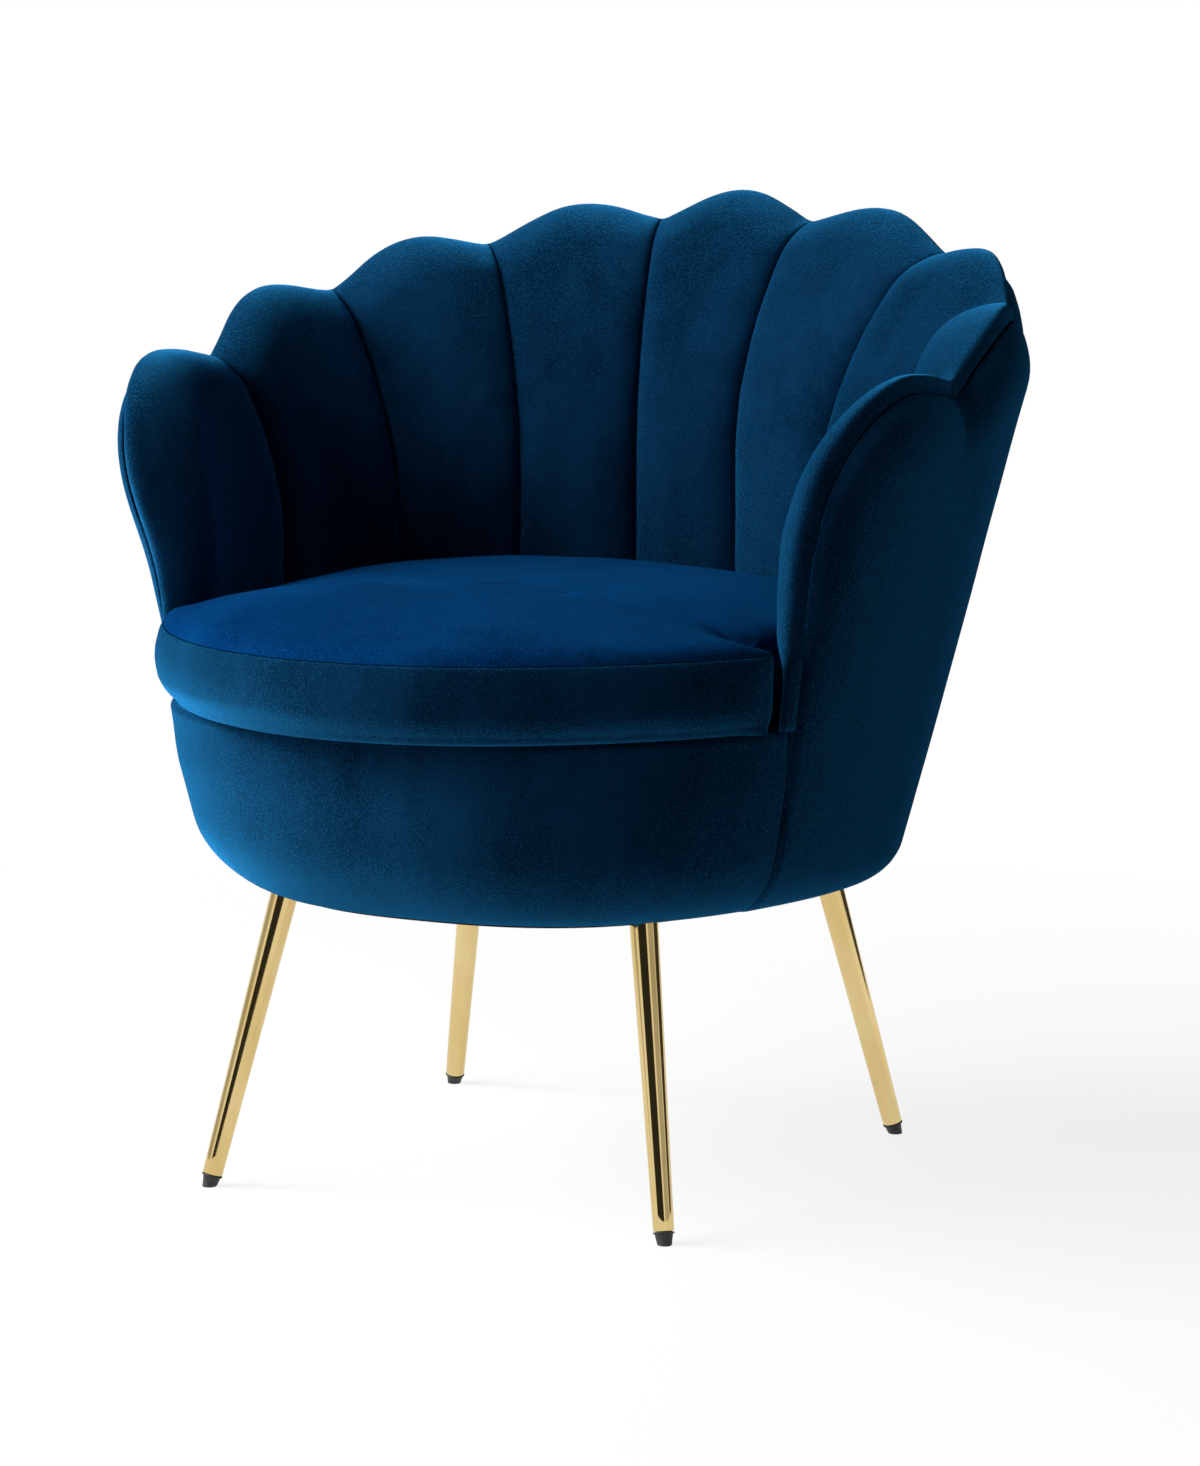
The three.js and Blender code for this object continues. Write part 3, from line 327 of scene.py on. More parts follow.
def shader_group(name, inputs):
    """A node group with the given inputs, and a finish's colour, roughness and height as outputs."""
    tree = bpy.data.node_groups.new(name, "ShaderNodeTree")
    for label, default in inputs.items():
        socket = tree.interface.new_socket(name=label, in_out="INPUT", socket_type=KINDS[np.size(default)])
        socket.default_value = default
    for label, size in (("Colour", 4), ("Roughness", 1), ("Height", 1)):
        tree.interface.new_socket(name=label, in_out="OUTPUT", socket_type=KINDS[size])
    return tree, tree.nodes.new("NodeGroupInput").outputs, tree.nodes.new("NodeGroupOutput").inputs


def finish_group(tree, outputs, colour, roughness, height):
    for label, value in (("Colour", colour), ("Roughness", roughness), ("Height", height)):
        put(tree, outputs[label], value)
    return tree


def put(tree, socket, value):
    """Sets a socket to a constant, or links another socket to it."""
    if isinstance(value, bpy.types.NodeSocket):
        tree.links.new(value, socket)
    else:
        socket.default_value = (*value, 1) if socket.type == "RGBA" else value


def add_node(tree, kind, output, **values):
    node = tree.nodes.new("ShaderNode" + kind)
    for label, value in values.items():
        put(tree, node.inputs[label.replace("_", " ")], value)
    return node.outputs[output]


def add_noise(tree, where, scale, detail=2.0, roughness=0.5, distortion=0.0):
    return add_node(tree, "TexNoise", "Fac", Vector=where, Scale=scale, Detail=detail, Roughness=roughness,
                    Distortion=distortion)


def add_range(tree, value, low, high, to_low=0.0, to_high=1.0):
    return add_node(tree, "MapRange", "Result", Value=value, From_Min=low, From_Max=high, To_Min=to_low,
                    To_Max=to_high)


def add_math(tree, operation, first, second):
    node = tree.nodes.new("ShaderNodeMath")
    node.operation = operation
    put(tree, node.inputs[0], first)
    put(tree, node.inputs[1], second)
    return node.outputs["Value"]


def add_mix(tree, share, first, second):
    node = tree.nodes.new("ShaderNodeMix")
    node.data_type = "RGBA"
    for socket, value in zip((node.inputs[0], node.inputs[6], node.inputs[7]), (share, first, second)):
        put(tree, socket, value)
    return node.outputs[2]


def add_sum(tree, first, share, second):
    """The two values, blended by a fixed share."""
    return add_math(tree, "ADD", add_math(tree, "MULTIPLY", first, share),
                    add_math(tree, "MULTIPLY", second, round(1 - share, 6)))


def velvet_pile():
    """Brushed cut pile: wide patches and brush marks, partly the pile's own mottling and partly painted
    sheen, flecks of lit pile as painted highlights, and fine tufts.
    """
    tree, given, out = shader_group("Velvet pile",
                                    {"Colour": BLACK, "Lit pile": BLACK, "Patches": 0.3, "Flecks": 0.3})
    where = tree.nodes.new("ShaderNodeTexCoord").outputs["Object"]
    drawn_down = add_node(tree, "Mapping", "Vector", Vector=where, Scale=(1, 1, 0.55))
    patches = add_range(tree, add_noise(tree, drawn_down, 9, 3, 0.55, 0.8), 0.38, 0.66)
    marks = add_range(tree, add_noise(tree, drawn_down, 46, 4, 0.6, 0.5), 0.36, 0.66)
    flecks = add_range(tree, add_noise(tree, where, 640, 3, 0.7), 0.50, 0.72)
    shade = add_range(tree, add_noise(tree, where, 300, 3, 0.65), 0.30, 0.50, 1, 0)
    tufts = add_noise(tree, where, 1050, 2, 0.6)
    mottle_and_painted_sheen = add_math(tree, "MULTIPLY", add_sum(tree, patches, 0.7, marks), given["Patches"])
    painted_highlight_flecks = add_math(tree, "MULTIPLY", flecks, given["Flecks"])
    # The patches and flecks blend in the lit pile colour: painted sheen and painted highlights, the patches
    # partly the pile's own mottling.
    colour = add_mix(tree, mottle_and_painted_sheen, given["Colour"], given["Lit pile"])
    colour = add_mix(tree, painted_highlight_flecks, colour, given["Lit pile"])
    colour = add_mix(tree, add_math(tree, "MULTIPLY", shade, 0.28), colour, (0.0, 0.002, 0.008))
    rough = add_range(tree, marks, 0, 1, 0.72, 0.88)
    return finish_group(tree, out, colour, rough, add_sum(tree, flecks, 0.5, tufts))


def surface_grain():
    """Cloud, streak and speck masks for the plainer finishes."""
    tree, given, out = shader_group("Surface grain",
                                    {"Colour": BLACK, "Second colour": BLACK, "Low roughness": 0.3,
                                     "High roughness": 0.6, "Scale": 40.0, "Stretch": (1, 1, 1)})
    stretched = tree.nodes.new("ShaderNodeVectorMath")
    stretched.operation = "MULTIPLY"
    put(tree, stretched.inputs[0], tree.nodes.new("ShaderNodeTexCoord").outputs["Object"])
    put(tree, stretched.inputs[1], given["Stretch"])
    where = stretched.outputs["Vector"]
    mask = add_range(tree, add_noise(tree, where, given["Scale"], 4), 0.35, 0.68)
    specks = add_noise(tree, where, 900, 2, 0.6)
    colour = add_mix(tree, mask, given["Colour"], given["Second colour"])
    rough = add_range(tree, mask, 0, 1, given["Low roughness"], given["High roughness"])
    return finish_group(tree, out, colour, rough, add_sum(tree, mask, 0.4, specks))


VELVET_PILE = velvet_pile()
SURFACE_GRAIN = surface_grain()


def new_material(name):
    material = bpy.data.materials.new(name)
    material.use_nodes = True
    return material, material.node_tree


def group_material(name, group, values, bump, **shader):
    """A material around one shader group: its colour, roughness and height drive a Principled shader."""
    material, tree = new_material(name)
    principled = tree.nodes["Principled BSDF"].inputs
    node = tree.nodes.new("ShaderNodeGroup")
    node.node_tree = group
    for label, value in values.items():
        put(tree, node.inputs[label], value)
    out = node.outputs
    put(tree, principled["Base Color"], out["Colour"])
    put(tree, principled["Roughness"], out["Roughness"])
    bumped = add_node(tree, "Bump", "Normal", Strength=bump[0], Distance=bump[1], Height=out["Height"])
    put(tree, principled["Normal"], bumped)
    for label, value in shader.items():
        put(tree, principled[label.replace("_", " ")], value)
    return material


FLECKS = 0.85
VELVET_BUMP = 0.8, 0.0009
SHEEN_ROUGHNESS, SHEEN_TINT = 0.42, (0.03, 0.37, 0.86)


# A velvet's `lit` colour is painted sheen: the pile group blends it in by patches and flecks as painted
# highlights.
def velvet(name, colour, lit, sheen, patches):
    return group_material(
        name, VELVET_PILE,
        {"Colour": linear(colour), "Lit pile": linear(lit), "Patches": patches, "Flecks": FLECKS},
        VELVET_BUMP, Sheen_Weight=sheen, Sheen_Roughness=SHEEN_ROUGHNESS, Sheen_Tint=SHEEN_TINT,
        Specular_IOR_Level=0.0)


def grained(name, colour, second, roughness, scale, bump, stretch=(1, 1, 1), **shader):
    values = {"Colour": linear(colour), "Second colour": linear(second), "Low roughness": roughness[0],
              "High roughness": roughness[1], "Scale": scale, "Stretch": stretch}
    return group_material(name, SURFACE_GRAIN, values, bump, **shader)


blue_velvet = velvet("Blue velvet", (1, 15, 32), (9, 46, 78), 1.0, 0.75)
# The seat's top panel is painted lighter than the walls for the light that falls on it from above; its low
# sheen is the pile laid forwards.
top_panel_velvet_painted_lighter = velvet("Blue velvet, top panel painted lighter, pile laid forwards", (1, 34, 76), (7, 74, 132), 0.08, 0.32)
# Nearly black velvet with little sheen for the seams: pile pressed flat there, and painted shade for the
# recess the seam draws in.
seam_shade_velvet = velvet("Blue velvet, painted seam shade, pile pressed flat", (0, 7, 18), (1, 12, 26), 0.1, 0.5)
gold = grained("Gold plating", (228, 204, 146), (214, 186, 122), (0.05, 0.10), 30, (0.02, 0.0002),
               (1, 1, 0.25), Metallic=1.0)
black_plastic = grained("Black plastic", (26, 26, 28), (38, 38, 40), (0.42, 0.6), 120, (0.12, 0.0003))
black_cloth = grained("Black lining cloth", (24, 24, 26), (40, 40, 44), (0.85, 0.95), 260, (0.5, 0.0006),
                      Specular_IOR_Level=0.2)
plywood = grained("Birch plywood", (205, 176, 130), (184, 150, 104), (0.55, 0.7), 26, (0.15, 0.0004),
                  (9, 9, 0.8))
pine = grained("Pine", (214, 182, 128), (186, 146, 92), (0.55, 0.7), 14, (0.15, 0.0004), (1, 12, 12))
webbing = grained("Elastic webbing", (150, 152, 154), (112, 114, 118), (0.8, 0.92), 320, (0.6, 0.0008),
                  (1, 1, 4))
foam = grained("Seat foam", (230, 220, 192), (214, 202, 168), (0.9, 0.97), 180, (0.5, 0.001))
steel = grained("Zinc plated steel", (168, 170, 172), (140, 143, 147), (0.3, 0.48), 60, (0.08, 0.0002),
                Metallic=1.0)


# Camera at the photograph's angle. The picture is taken as 1200 by 1466 pixels. Angles are in degrees.

IMAGE_HEIGHT, FOCAL_PIXELS, SENSOR = 1466, 4500, 36
CAMERA_AZIMUTH, CAMERA_ELEVATION, CAMERA_ROLL = 26.635, 7.99, 0.225
CAMERA_DISTANCE = 3.5848
TARGET_BEHIND_AXIS, TARGET_HEIGHT = 0.0241, 0.3311


def towards(azimuth, elevation):
    """The direction from the chair to a place round it, with azimuth 0 in front of it."""
    turn, lift = math.radians(azimuth), math.radians(elevation)
    return Vector((math.sin(turn) * math.cos(lift), -math.cos(turn) * math.cos(lift), math.sin(lift)))


def facing(direction):
    return (-direction).to_track_quat("-Z", "Y").to_matrix()


def make_camera():
    data = bpy.data.cameras.new("Camera")
    data.sensor_width = SENSOR
    data.lens = FOCAL_PIXELS * SENSOR / IMAGE_HEIGHT
    camera = in_scene("Camera", data)
    back = towards(CAMERA_AZIMUTH, CAMERA_ELEVATION)
    camera.location = Vector((0, axis_y + TARGET_BEHIND_AXIS, TARGET_HEIGHT)) + back * CAMERA_DISTANCE
    camera.rotation_euler = (facing(back) @ Matrix.Rotation(math.radians(CAMERA_ROLL), 3, "Z")).to_euler()
    bpy.context.scene.camera = camera


make_camera()


# Channel pads

PAD_COLUMNS, PAD_CROWDING, FACE_ROWS, ROLL_ROWS = 37, 0.92, 34, 20
ROLL_TURN = math.asin(1 - SEAM_DROP / ROLL_RADIUS)
ROLL_TURNS = np.linspace(0, np.pi - ROLL_TURN, ROLL_ROWS + 1)[None, 1:]
HALF_SEAM = 0.0003 / ARM_ARC_RADIUS

# Past the roll the velvet turns in under itself at the outside seam: further in, and further down
SEAM_TURN_IN = ((0.0012, 0.0012), (0.0035, 0.0018), (0.0080, 0.0016))
PLAIN_ROWS = len(SEAM_TURN_IN) + 3

# The back of a pad ends this far below its seam, and an arm's lies a little deeper
BACK_DROP, ARM_BACK_STEP = 0.001, 0.003

PAD_FULLNESS = ((0.0011, 11, 0), (0.0005, 34, 5))
PAD_PUCKERS = ((0.0016, 70, 9, (0.35, 0.35, 1)),)
PUCKER_REACH, PUCKER_START = 0.016, 0.003

# The lobe next to each arm is stuffed fuller at its crest, most of all on the right
CREST_FILL = {8: 0.030, 2: 0.010, 7: 0.006, 3: 0.003}
CREST_FILL_RUN = 0.075


def roll_depth(inner, swell):
    ridge = RIDGE_SHARE * inner
    share = np.clip((ROLL_TURNS - np.pi / 2) / (np.pi / 2 - ROLL_TURN), 0, 1)
    over = np.where(ROLL_TURNS < np.pi / 2, inner - ridge, ridge) * np.cos(ROLL_TURNS)
    return ridge + over - ROLL_BULGE * swell * np.sin(np.pi * share)


def soft_surface(points, swell, seam_distance, seed):
    """Slight fullness, and the short puckers that run away from the sewn grooves."""
    rows = points.shape[1]
    swell = np.where(np.arange(rows) < rows - PLAIN_ROWS, swell, 0)
    near = np.exp(-seam_distance / PUCKER_REACH) * (1 - np.exp(-seam_distance / PUCKER_START))
    puckers = waves(points, PAD_PUCKERS, seed) * near * np.minimum(1, swell * 2)
    return points + grid_normals(points) * (waves(points, PAD_FULLNESS, seed) * swell + puckers)[..., None]


def channel_pad(number, lobe, mirrored):
    shares = crowded(PAD_COLUMNS, PAD_CROWDING)[:, None]
    left, right = LOBE_EDGES[lobe:lobe + 2] + [HALF_SEAM, -HALF_SEAM]
    angle = left + (right - left) * shares
    swell = crown(shares)
    crest = crest_height(LOBE_EDGES[lobe] + (LOBE_EDGES[lobe + 1] - LOBE_EDGES[lobe]) * shares)

    def full_depth(height):
        fill = CREST_FILL.get(number, 0) * np.exp(-((crest - height) / CREST_FILL_RUN) ** 2)
        return groove_depth(angle, height) + channel_depth(height) * swell + fill * np.sin(np.pi * shares)

    face_height = PAD_BOTTOM + (crest - ROLL_RADIUS - PAD_BOTTOM) * np.linspace(0, 1, FACE_ROWS)
    roll_height = crest - ROLL_RADIUS * (1 - np.sin(ROLL_TURNS))
    rolled = roll_depth(full_depth(roll_height), swell)
    turned = [(roll_height[:, -1:] - down, rolled[:, -1:] + inward) for inward, down in SEAM_TURN_IN]
    rows = [(face_height, full_depth(face_height)), (roll_height, rolled), *turned]
    height, depth = (np.concatenate(part, 1) for part in zip(*rows))
    front = place(angle + 0 * height, height, depth)
    width = (right - left) * np.linalg.norm(front[..., :2] - [0, axis_y], axis=-1)
    front = soft_surface(front, swell, np.minimum(shares, 1 - shares) * width, number)
    shelf = crest - SEAM_DROP - BACK_DROP
    back_height = PAD_BOTTOM + (shelf - PAD_BOTTOM) * np.linspace(0, 1, height.shape[1])
    finish_pad(number, front, place(angle + 0 * back_height, back_height, PAD_BACK), mirrored)


def paint_seam_shade(piece, shape, rows):
    """Gives the named rows of a shell's front grid the seam's velvet: pile pressed flat, and painted shade
    for the seam's recess.
    """
    piece.data.materials.append(seam_shade_velvet)
    corners = np.array([polygon.vertices[:] for polygon in piece.data.polygons])
    low_row = (corners % shape[1]).min(1)
    on_front = corners.max(1) < shape[0] * shape[1]
    for index in np.nonzero(on_front & np.isin(low_row, list(rows)))[0]:
        piece.data.polygons[index].material_index = 1


def finish_pad(number, front, back, mirrored):
    points, faces = shell(front, back)
    if mirrored:
        points = points * [-1, 1, 1]
    piece = new_piece(f"channel_{number}_velvet", points, faces, blue_velvet, TUB, "blue_velvet",
                      [f"channel_pad_{number}"])
    # The rows that turn in under the seam get the dark seam velvet: painted shade in the recess.
    last = front.shape[1] - 1
    paint_seam_shade(piece, front.shape, range(last - len(SEAM_TURN_IN), last))


# The arm's crest leaves its first seam level, over one part in this many of its length
ARM_LEVEL_START = 4


def arm_stations(crest_steps, corner_steps, edge_steps):
    """The arm end's outline laid flat, as runs, heights and outward normals."""
    lift = ARM_TOP - SEAM_HEIGHTS[3]
    share = np.linspace(0, 1, crest_steps, endpoint=False)
    slope = lift * np.pi / 2 * np.cos(np.pi / 2 * share) / ARM_CREST_RUN * smooth(share * ARM_LEVEL_START)
    crest = np.stack([ARM_CREST_RUN * share, arm_crest(ARM_CREST_RUN * share), -slope, 1 + 0 * share], 1)
    turn = np.linspace(0, np.pi / 2, corner_steps)
    corner = np.stack([ARM_CREST_RUN + ARM_CORNER_RUN * np.sin(turn),
                       ARM_TOP - ARM_CORNER_DROP * (1 - np.cos(turn)),
                       np.sin(turn) / ARM_CORNER_RUN, np.cos(turn) / ARM_CORNER_DROP], 1)
    height = np.linspace(ARM_TOP - ARM_CORNER_DROP, PAD_BOTTOM, edge_steps + 1)[1:]
    edge = np.stack([ARM_SPAN + 0 * height, height, 1 + 0 * height, 0 * height], 1)
    stations = np.concatenate([crest, corner, edge])
    normal = stations[:, 2:] / np.linalg.norm(stations[:, 2:], axis=1, keepdims=True)
    return stations[:, 0], stations[:, 1], normal


ARM_PUSH, ARM_PUSH_RUN = 0.010, 0.040
ARM_PUSH_LOW, ARM_PUSH_HIGH = 0.46, 0.56


def arm_push(run, height):
    """The left arm is stuffed out further to the outside along its crest."""
    rise = (height - ARM_PUSH_LOW) / (ARM_PUSH_HIGH - ARM_PUSH_LOW)
    return ARM_PUSH * smooth(run / ARM_PUSH_RUN) * smooth(rise)


FAN_START, FAN_ROWS = 0.05, 34
ARM_PAD_STEPS = 18, 38, 18


def arm_pad(number, mirrored):
    run, height, normal = arm_stations(*ARM_PAD_STEPS)

    def at(back):
        return run[:, None] - back * normal[:, :1], height[:, None] - back * normal[:, 1:]

    def full_depth(runs, heights):
        return arm_depth(runs, heights) * arm_foot(runs, heights)

    foot_run, foot_height = at(ROLL_RADIUS)
    share = np.linspace(FAN_START, 1, FAN_ROWS)
    fan_run, fan_height = foot_run * share, PAD_BOTTOM + (foot_height - PAD_BOTTOM) * share
    roll_run, roll_height = at(ROLL_RADIUS * (1 - np.sin(ROLL_TURNS)))
    rolled = roll_depth(full_depth(roll_run, roll_height), arm_swell(roll_run))
    if mirrored:
        rolled = rolled - arm_push(roll_run, roll_height) * smooth(ROLL_TURNS / ROLL_TURNS.max())
    turned = [(*at(SEAM_DROP + down), rolled[:, -1:] + inward) for inward, down in SEAM_TURN_IN]
    rows = [(fan_run, fan_height, full_depth(fan_run, fan_height)), (roll_run, roll_height, rolled), *turned]
    runs, heights, depths = (np.concatenate(part, 1) for part in zip(*rows))
    front = place(arm_angle(runs) + HALF_SEAM, heights, depths)
    front = soft_surface(front, arm_swell(runs), np.maximum(runs, 0), number)
    share = np.linspace(FAN_START, 1, runs.shape[1])
    shelf_run, shelf_height = at(SEAM_DROP + BACK_DROP)
    back = place(arm_angle(shelf_run * share) + HALF_SEAM, PAD_BOTTOM + (shelf_height - PAD_BOTTOM) * share,
                 PAD_BACK + ARM_BACK_STEP)
    finish_pad(number, front, back, mirrored)


MIDDLE_LOBE = 5
for lobe in range(len(LOBE_EDGES) - 1):
    channel_pad(MIDDLE_LOBE + lobe, lobe, False)
    if lobe:
        channel_pad(MIDDLE_LOBE - lobe, lobe, True)
arm_pad(9, False)
arm_pad(1, True)


# Outside cover and front apron

STRAIGHT_ROWS, STRAIGHT_POWER, ROUND_ROWS = 44, 1.5, 14
FLAT_ROWS = ROUND_ROWS + 2
QUIET_RUN = 0.02


def wall_rows(angle, top):
    """Insets and heights down a wall, round its lower edge and in under the seat, from `top` down."""
    radius = edge_radius(angle)
    foot = UNDERSIDE + radius
    down = top + (foot - top) * (np.linspace(0, 1, STRAIGHT_ROWS) ** STRAIGHT_POWER)[None]
    turn = np.linspace(0, np.pi / 2, ROUND_ROWS + 1)[None, 1:]
    flange = radius + TURN_UNDER * np.array([[0.5, 1.0]])
    insets = np.concatenate([0 * down, radius * (1 - np.cos(turn)), flange], 1)
    return insets, np.concatenate([down, foot - radius * np.sin(turn), UNDERSIDE + 0 * flange], 1)


def creased(distance, radius):
    """How far an edge turns in, `distance` from it."""
    share = np.clip(1 - distance / radius, 0, 1)
    return radius * (1 - np.sqrt(np.maximum(0, 1 - share * share)))


def quiet(*distances):
    """Fades ripples out towards each edge."""
    return math.prod(smooth(distance / QUIET_RUN) for distance in distances)


def radial(angle):
    return np.stack([np.sin(angle), np.cos(angle), 0 * angle], -1)


def wall_piece(name, replaced, front, spread, thickness, flat_share):
    """A skin on the tub's wall. Its rows under the seat are thick upwards, and inwards by `flat_share`."""
    inward = np.full((*front.shape[:2], 1), thickness)
    inward[:, -FLAT_ROWS:] *= flat_share
    back = front - radial(spread) * inward
    back[:, -FLAT_ROWS:, 2] += thickness / 2
    return new_piece(name, *shell(front, back), blue_velvet, TUB, "blue_velvet", [replaced])


COVER_LOBE_POINTS, COVER_CROWDING = 15, 0.5
COVER_ARM_STEPS = 16, 44, 0
COVER_END_RUNS, COVER_END_DROP = np.array([0.0002, 0.0005, 0.0009]), 0.002
COVER_DROP = -0.0006
COVER_TURN_IN = np.array([[0.0090, 0.0004], [0.0055, 0.0005], [0.0028, 0.0003]])
COVER_CREASE, COVER_SIDE_CREASE, COVER_FOOT_CREASE = 0.0028, 0.0016, 0.003
COVER_FOOT_RUN, COVER_FOOT_RISE = 0.03, 0.06
COVER_WAVES = ((0.0016, 9, 31, (1, 1, 0.4)), (0.0005, 40, 32, (1, 1, 0.3)))

# The cover's upright edges turn in this far under the arms' rolled front edges
COVER_SIDE_TURN = 0.006

# The cover stands out a little behind each lobe, most of it just below the seam
LOBE_FULLNESS, LOBE_FULL_START, LOBE_FULL_FADE = 0.0032, 0.012, 0.075
LEFT_PUSH_FADE = 0.06


def cover_columns():
    """Along the cover's upper edge: the angle, the height, and how much the lobe behind it swells."""
    shares = crowded(COVER_LOBE_POINTS, COVER_CROWDING)[:-1]
    swell = np.sin(np.pi * shares) ** 1.2
    angles = [left + (right - left) * shares for left, right in zip(LOBE_EDGES, LOBE_EDGES[1:])]
    half = np.concatenate([np.stack([angle, crest_height(angle) - SEAM_DROP, swell], 1) for angle in angles])
    run, height, normal = (part[:-1] for part in arm_stations(*COVER_ARM_STEPS))
    run, top = run - SEAM_DROP * normal[:, 0], height - SEAM_DROP * normal[:, 1]
    end_run = run[-1] + COVER_END_RUNS
    arm = np.stack([arm_angle(np.concatenate([run, end_run])),
                    np.concatenate([top, top[-1] + 0 * end_run - COVER_END_DROP]),
                    np.concatenate([smooth(run / ARM_CROWN_RUN), 1 + 0 * end_run])], 1)
    right = np.concatenate([half[half[:, 0] > 0], arm])
    right = right[np.argsort(right[:, 0])]
    return np.concatenate([right[::-1] * [-1, 1, 1], [[0, crest_height(0) - SEAM_DROP, 1]], right])


columns = cover_columns()
cover_end = columns[-1, 0]


def below_seam(angle, height):
    return np.maximum(0, edge_drop(angle, height) - SEAM_DROP)


def side_gap(angle):
    return (cover_end - np.abs(angle)) * ARM_ARC_RADIUS


def with_ends(values):
    return np.concatenate([values[:1], values, values[-1:]])


def outside_cover():
    angle, top, swell = columns[:, :1], columns[:, 1:2] - COVER_DROP, columns[:, 2:]
    inset, height = wall_rows(angle, top)
    spread = angle + 0 * height
    at_foot = smooth((ARM_FOOT_TOP - height) / COVER_FOOT_RUN) * smooth(1 - (DECK - height) / COVER_FOOT_RISE)
    soft = COVER_SIDE_CREASE + (COVER_FOOT_CREASE - COVER_SIDE_CREASE) * at_foot
    edge = creased(top - height, COVER_CREASE) + soft * creased(side_gap(spread) / soft, 1)
    drop = below_seam(spread, height)
    full = LOBE_FULLNESS * swell * smooth(drop / LOBE_FULL_START) * np.exp(-drop / LOBE_FULL_FADE)
    inset = np.concatenate([COVER_TURN_IN[:, 0] + 0 * top, inset + edge - full], 1)
    height = np.concatenate([top + COVER_TURN_IN[:, 1], height], 1)
    spread = angle + 0 * height
    left = arm_push(arm_run(-spread), height) * np.exp(-below_seam(spread, height) / LEFT_PUSH_FADE)
    front = with_ends(place(spread, height, inset - left))
    spread, height, top = with_ends(spread), with_ends(height), with_ends(top)
    front[[0, -1]] -= radial(spread[[0, -1]]) * COVER_SIDE_TURN
    fade = quiet(top - height, height - UNDERSIDE, side_gap(spread))
    front = front + radial(spread) * (waves(front, COVER_WAVES) * fade)[..., None]
    piece = wall_piece("outside_velvet", "outside_cover", front, spread, COVER_THICKNESS, 1)
    # The cover's turned-in rows at its top seam get the dark seam velvet: painted shade in the seam's recess.
    paint_seam_shade(piece, front.shape, range(len(COVER_TURN_IN) + 1))


APRON_COLUMNS, APRON_CROWDING = 121, 0.45
APRON_EDGE_RUNS = np.array([0.0002, 0.0006, 0.0012, 0.002])
APRON_ROLL, APRON_ROLL_ROWS = 0.0065, 7
APRON_CREASE, APRON_TOP_CREASE, APRON_TOP_RUN = 0.0012, 0.005, 0.07
APRON_DRAW, APRON_DRAW_RUN = 0.005, 0.05
APRON_FULLNESS, APRON_FULL_RUN = 0.0022, 0.05
APRON_WAVES = ((0.0012, 10, 41, (1, 1, 0.6)), (0.0004, 38, 42, (1, 1, 0.4)))
APRON_PUCKERS, APRON_PUCKER_REACH = ((0.0012, 55, 43, (0.3, 0.3, 1)),), 0.018


def front_apron():
    start = cover_end + HALF_SEAM
    span = 2 * (np.pi - start)
    edge_steps = APRON_EDGE_RUNS / (span * ARM_ARC_RADIUS)
    shares = np.sort(np.concatenate([crowded(APRON_COLUMNS, APRON_CROWDING), edge_steps, 1 - edge_steps]))
    angle = start + span * shares[:, None]
    inset, height = wall_rows(angle, DECK - APRON_ROLL + 0 * angle)
    turn = np.linspace(0, np.pi / 2, APRON_ROLL_ROWS)[None, :-1]
    inset = np.concatenate([APRON_ROLL * (1 - np.sin(turn)) + 0 * angle, inset], 1)
    height = np.concatenate([DECK - APRON_ROLL * (1 - np.cos(turn)) + 0 * angle, height], 1)
    spread = angle + 0 * height
    side = np.minimum(spread - start, 2 * np.pi - start - spread) * ARM_ARC_RADIUS
    rise, drop = height - UNDERSIDE, DECK - height
    full = APRON_FULLNESS * smooth(side / APRON_FULL_RUN) * smooth(rise / APRON_FULL_RUN)
    soft = APRON_CREASE + (APRON_TOP_CREASE - APRON_CREASE) * smooth(1 - drop / APRON_TOP_RUN)
    drawn_in = APRON_DRAW * smooth(1 - drop / APRON_DRAW_RUN)
    front = place(spread, height, inset + soft * creased(side / soft, 1) + drawn_in - full)
    moved = waves(front, APRON_WAVES) + waves(front, APRON_PUCKERS) * np.exp(-side / APRON_PUCKER_REACH)
    front = front + radial(spread) * (moved * quiet(side, rise))[..., None]
    piece = wall_piece("front_apron_velvet", "front_apron", front, spread, APRON_THICKNESS, 0.5)


outside_cover()
front_apron()


# Seat cushion

CUSHION_GAP = 0.0022
CUSHION_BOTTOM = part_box("cushion_cover")[0].z
BORDER_HEIGHT, CROWN_RISE = 0.060, 0.031
CUSHION_SEAM = CUSHION_BOTTOM + BORDER_HEIGHT
NOSE_OVERHANG, NOSE_SIDE_OVERHANG, NOSE_RUN = 0.030, -0.0025, 0.03
NOSE_REACH = FRONT_RADIUS + FRONT_LEAN * (CUSHION_SEAM - UNDERSIDE) + NOSE_OVERHANG
NOSE_HALF_WIDTH = SIDE_RADIUS + SIDE_LEAN * (CUSHION_SEAM - UNDERSIDE) + NOSE_SIDE_OVERHANG
NECK = float(wall_line(ARM_FRONT_ANGLE, CUSHION_SEAM)) * math.cos(ARM_FRONT_ANGLE) - CUSHION_GAP
NECK_POINTS = np.array([[0, 0.004], [0.002, 0.001], [0.005, 0]])
EAR_CORNER, EAR_PUSH, EAR_PUSH_START, EAR_PUSH_RUN = 0.008, 0.008, 0.14, 0.10
ARM_SIDE_START, ARM_SIDE_STEPS, REAR_STEPS, EAR_STEPS, NOSE_STEPS = 0.004, 20, 46, 8, 60
EDGE_PARTS, NEAR_EDGE, NEAR_EDGE_RUN = 4, 0.002, 0.008
CUSHION_COLUMNS = 520
SHOULDER_RISE, SHOULDER_RUN, CROWN_RUN = 0.011, 0.012, 0.2
BORDER_BULGE, BULGE_RISE, BULGE_POWER = 0.0062, 0.008, 0.8
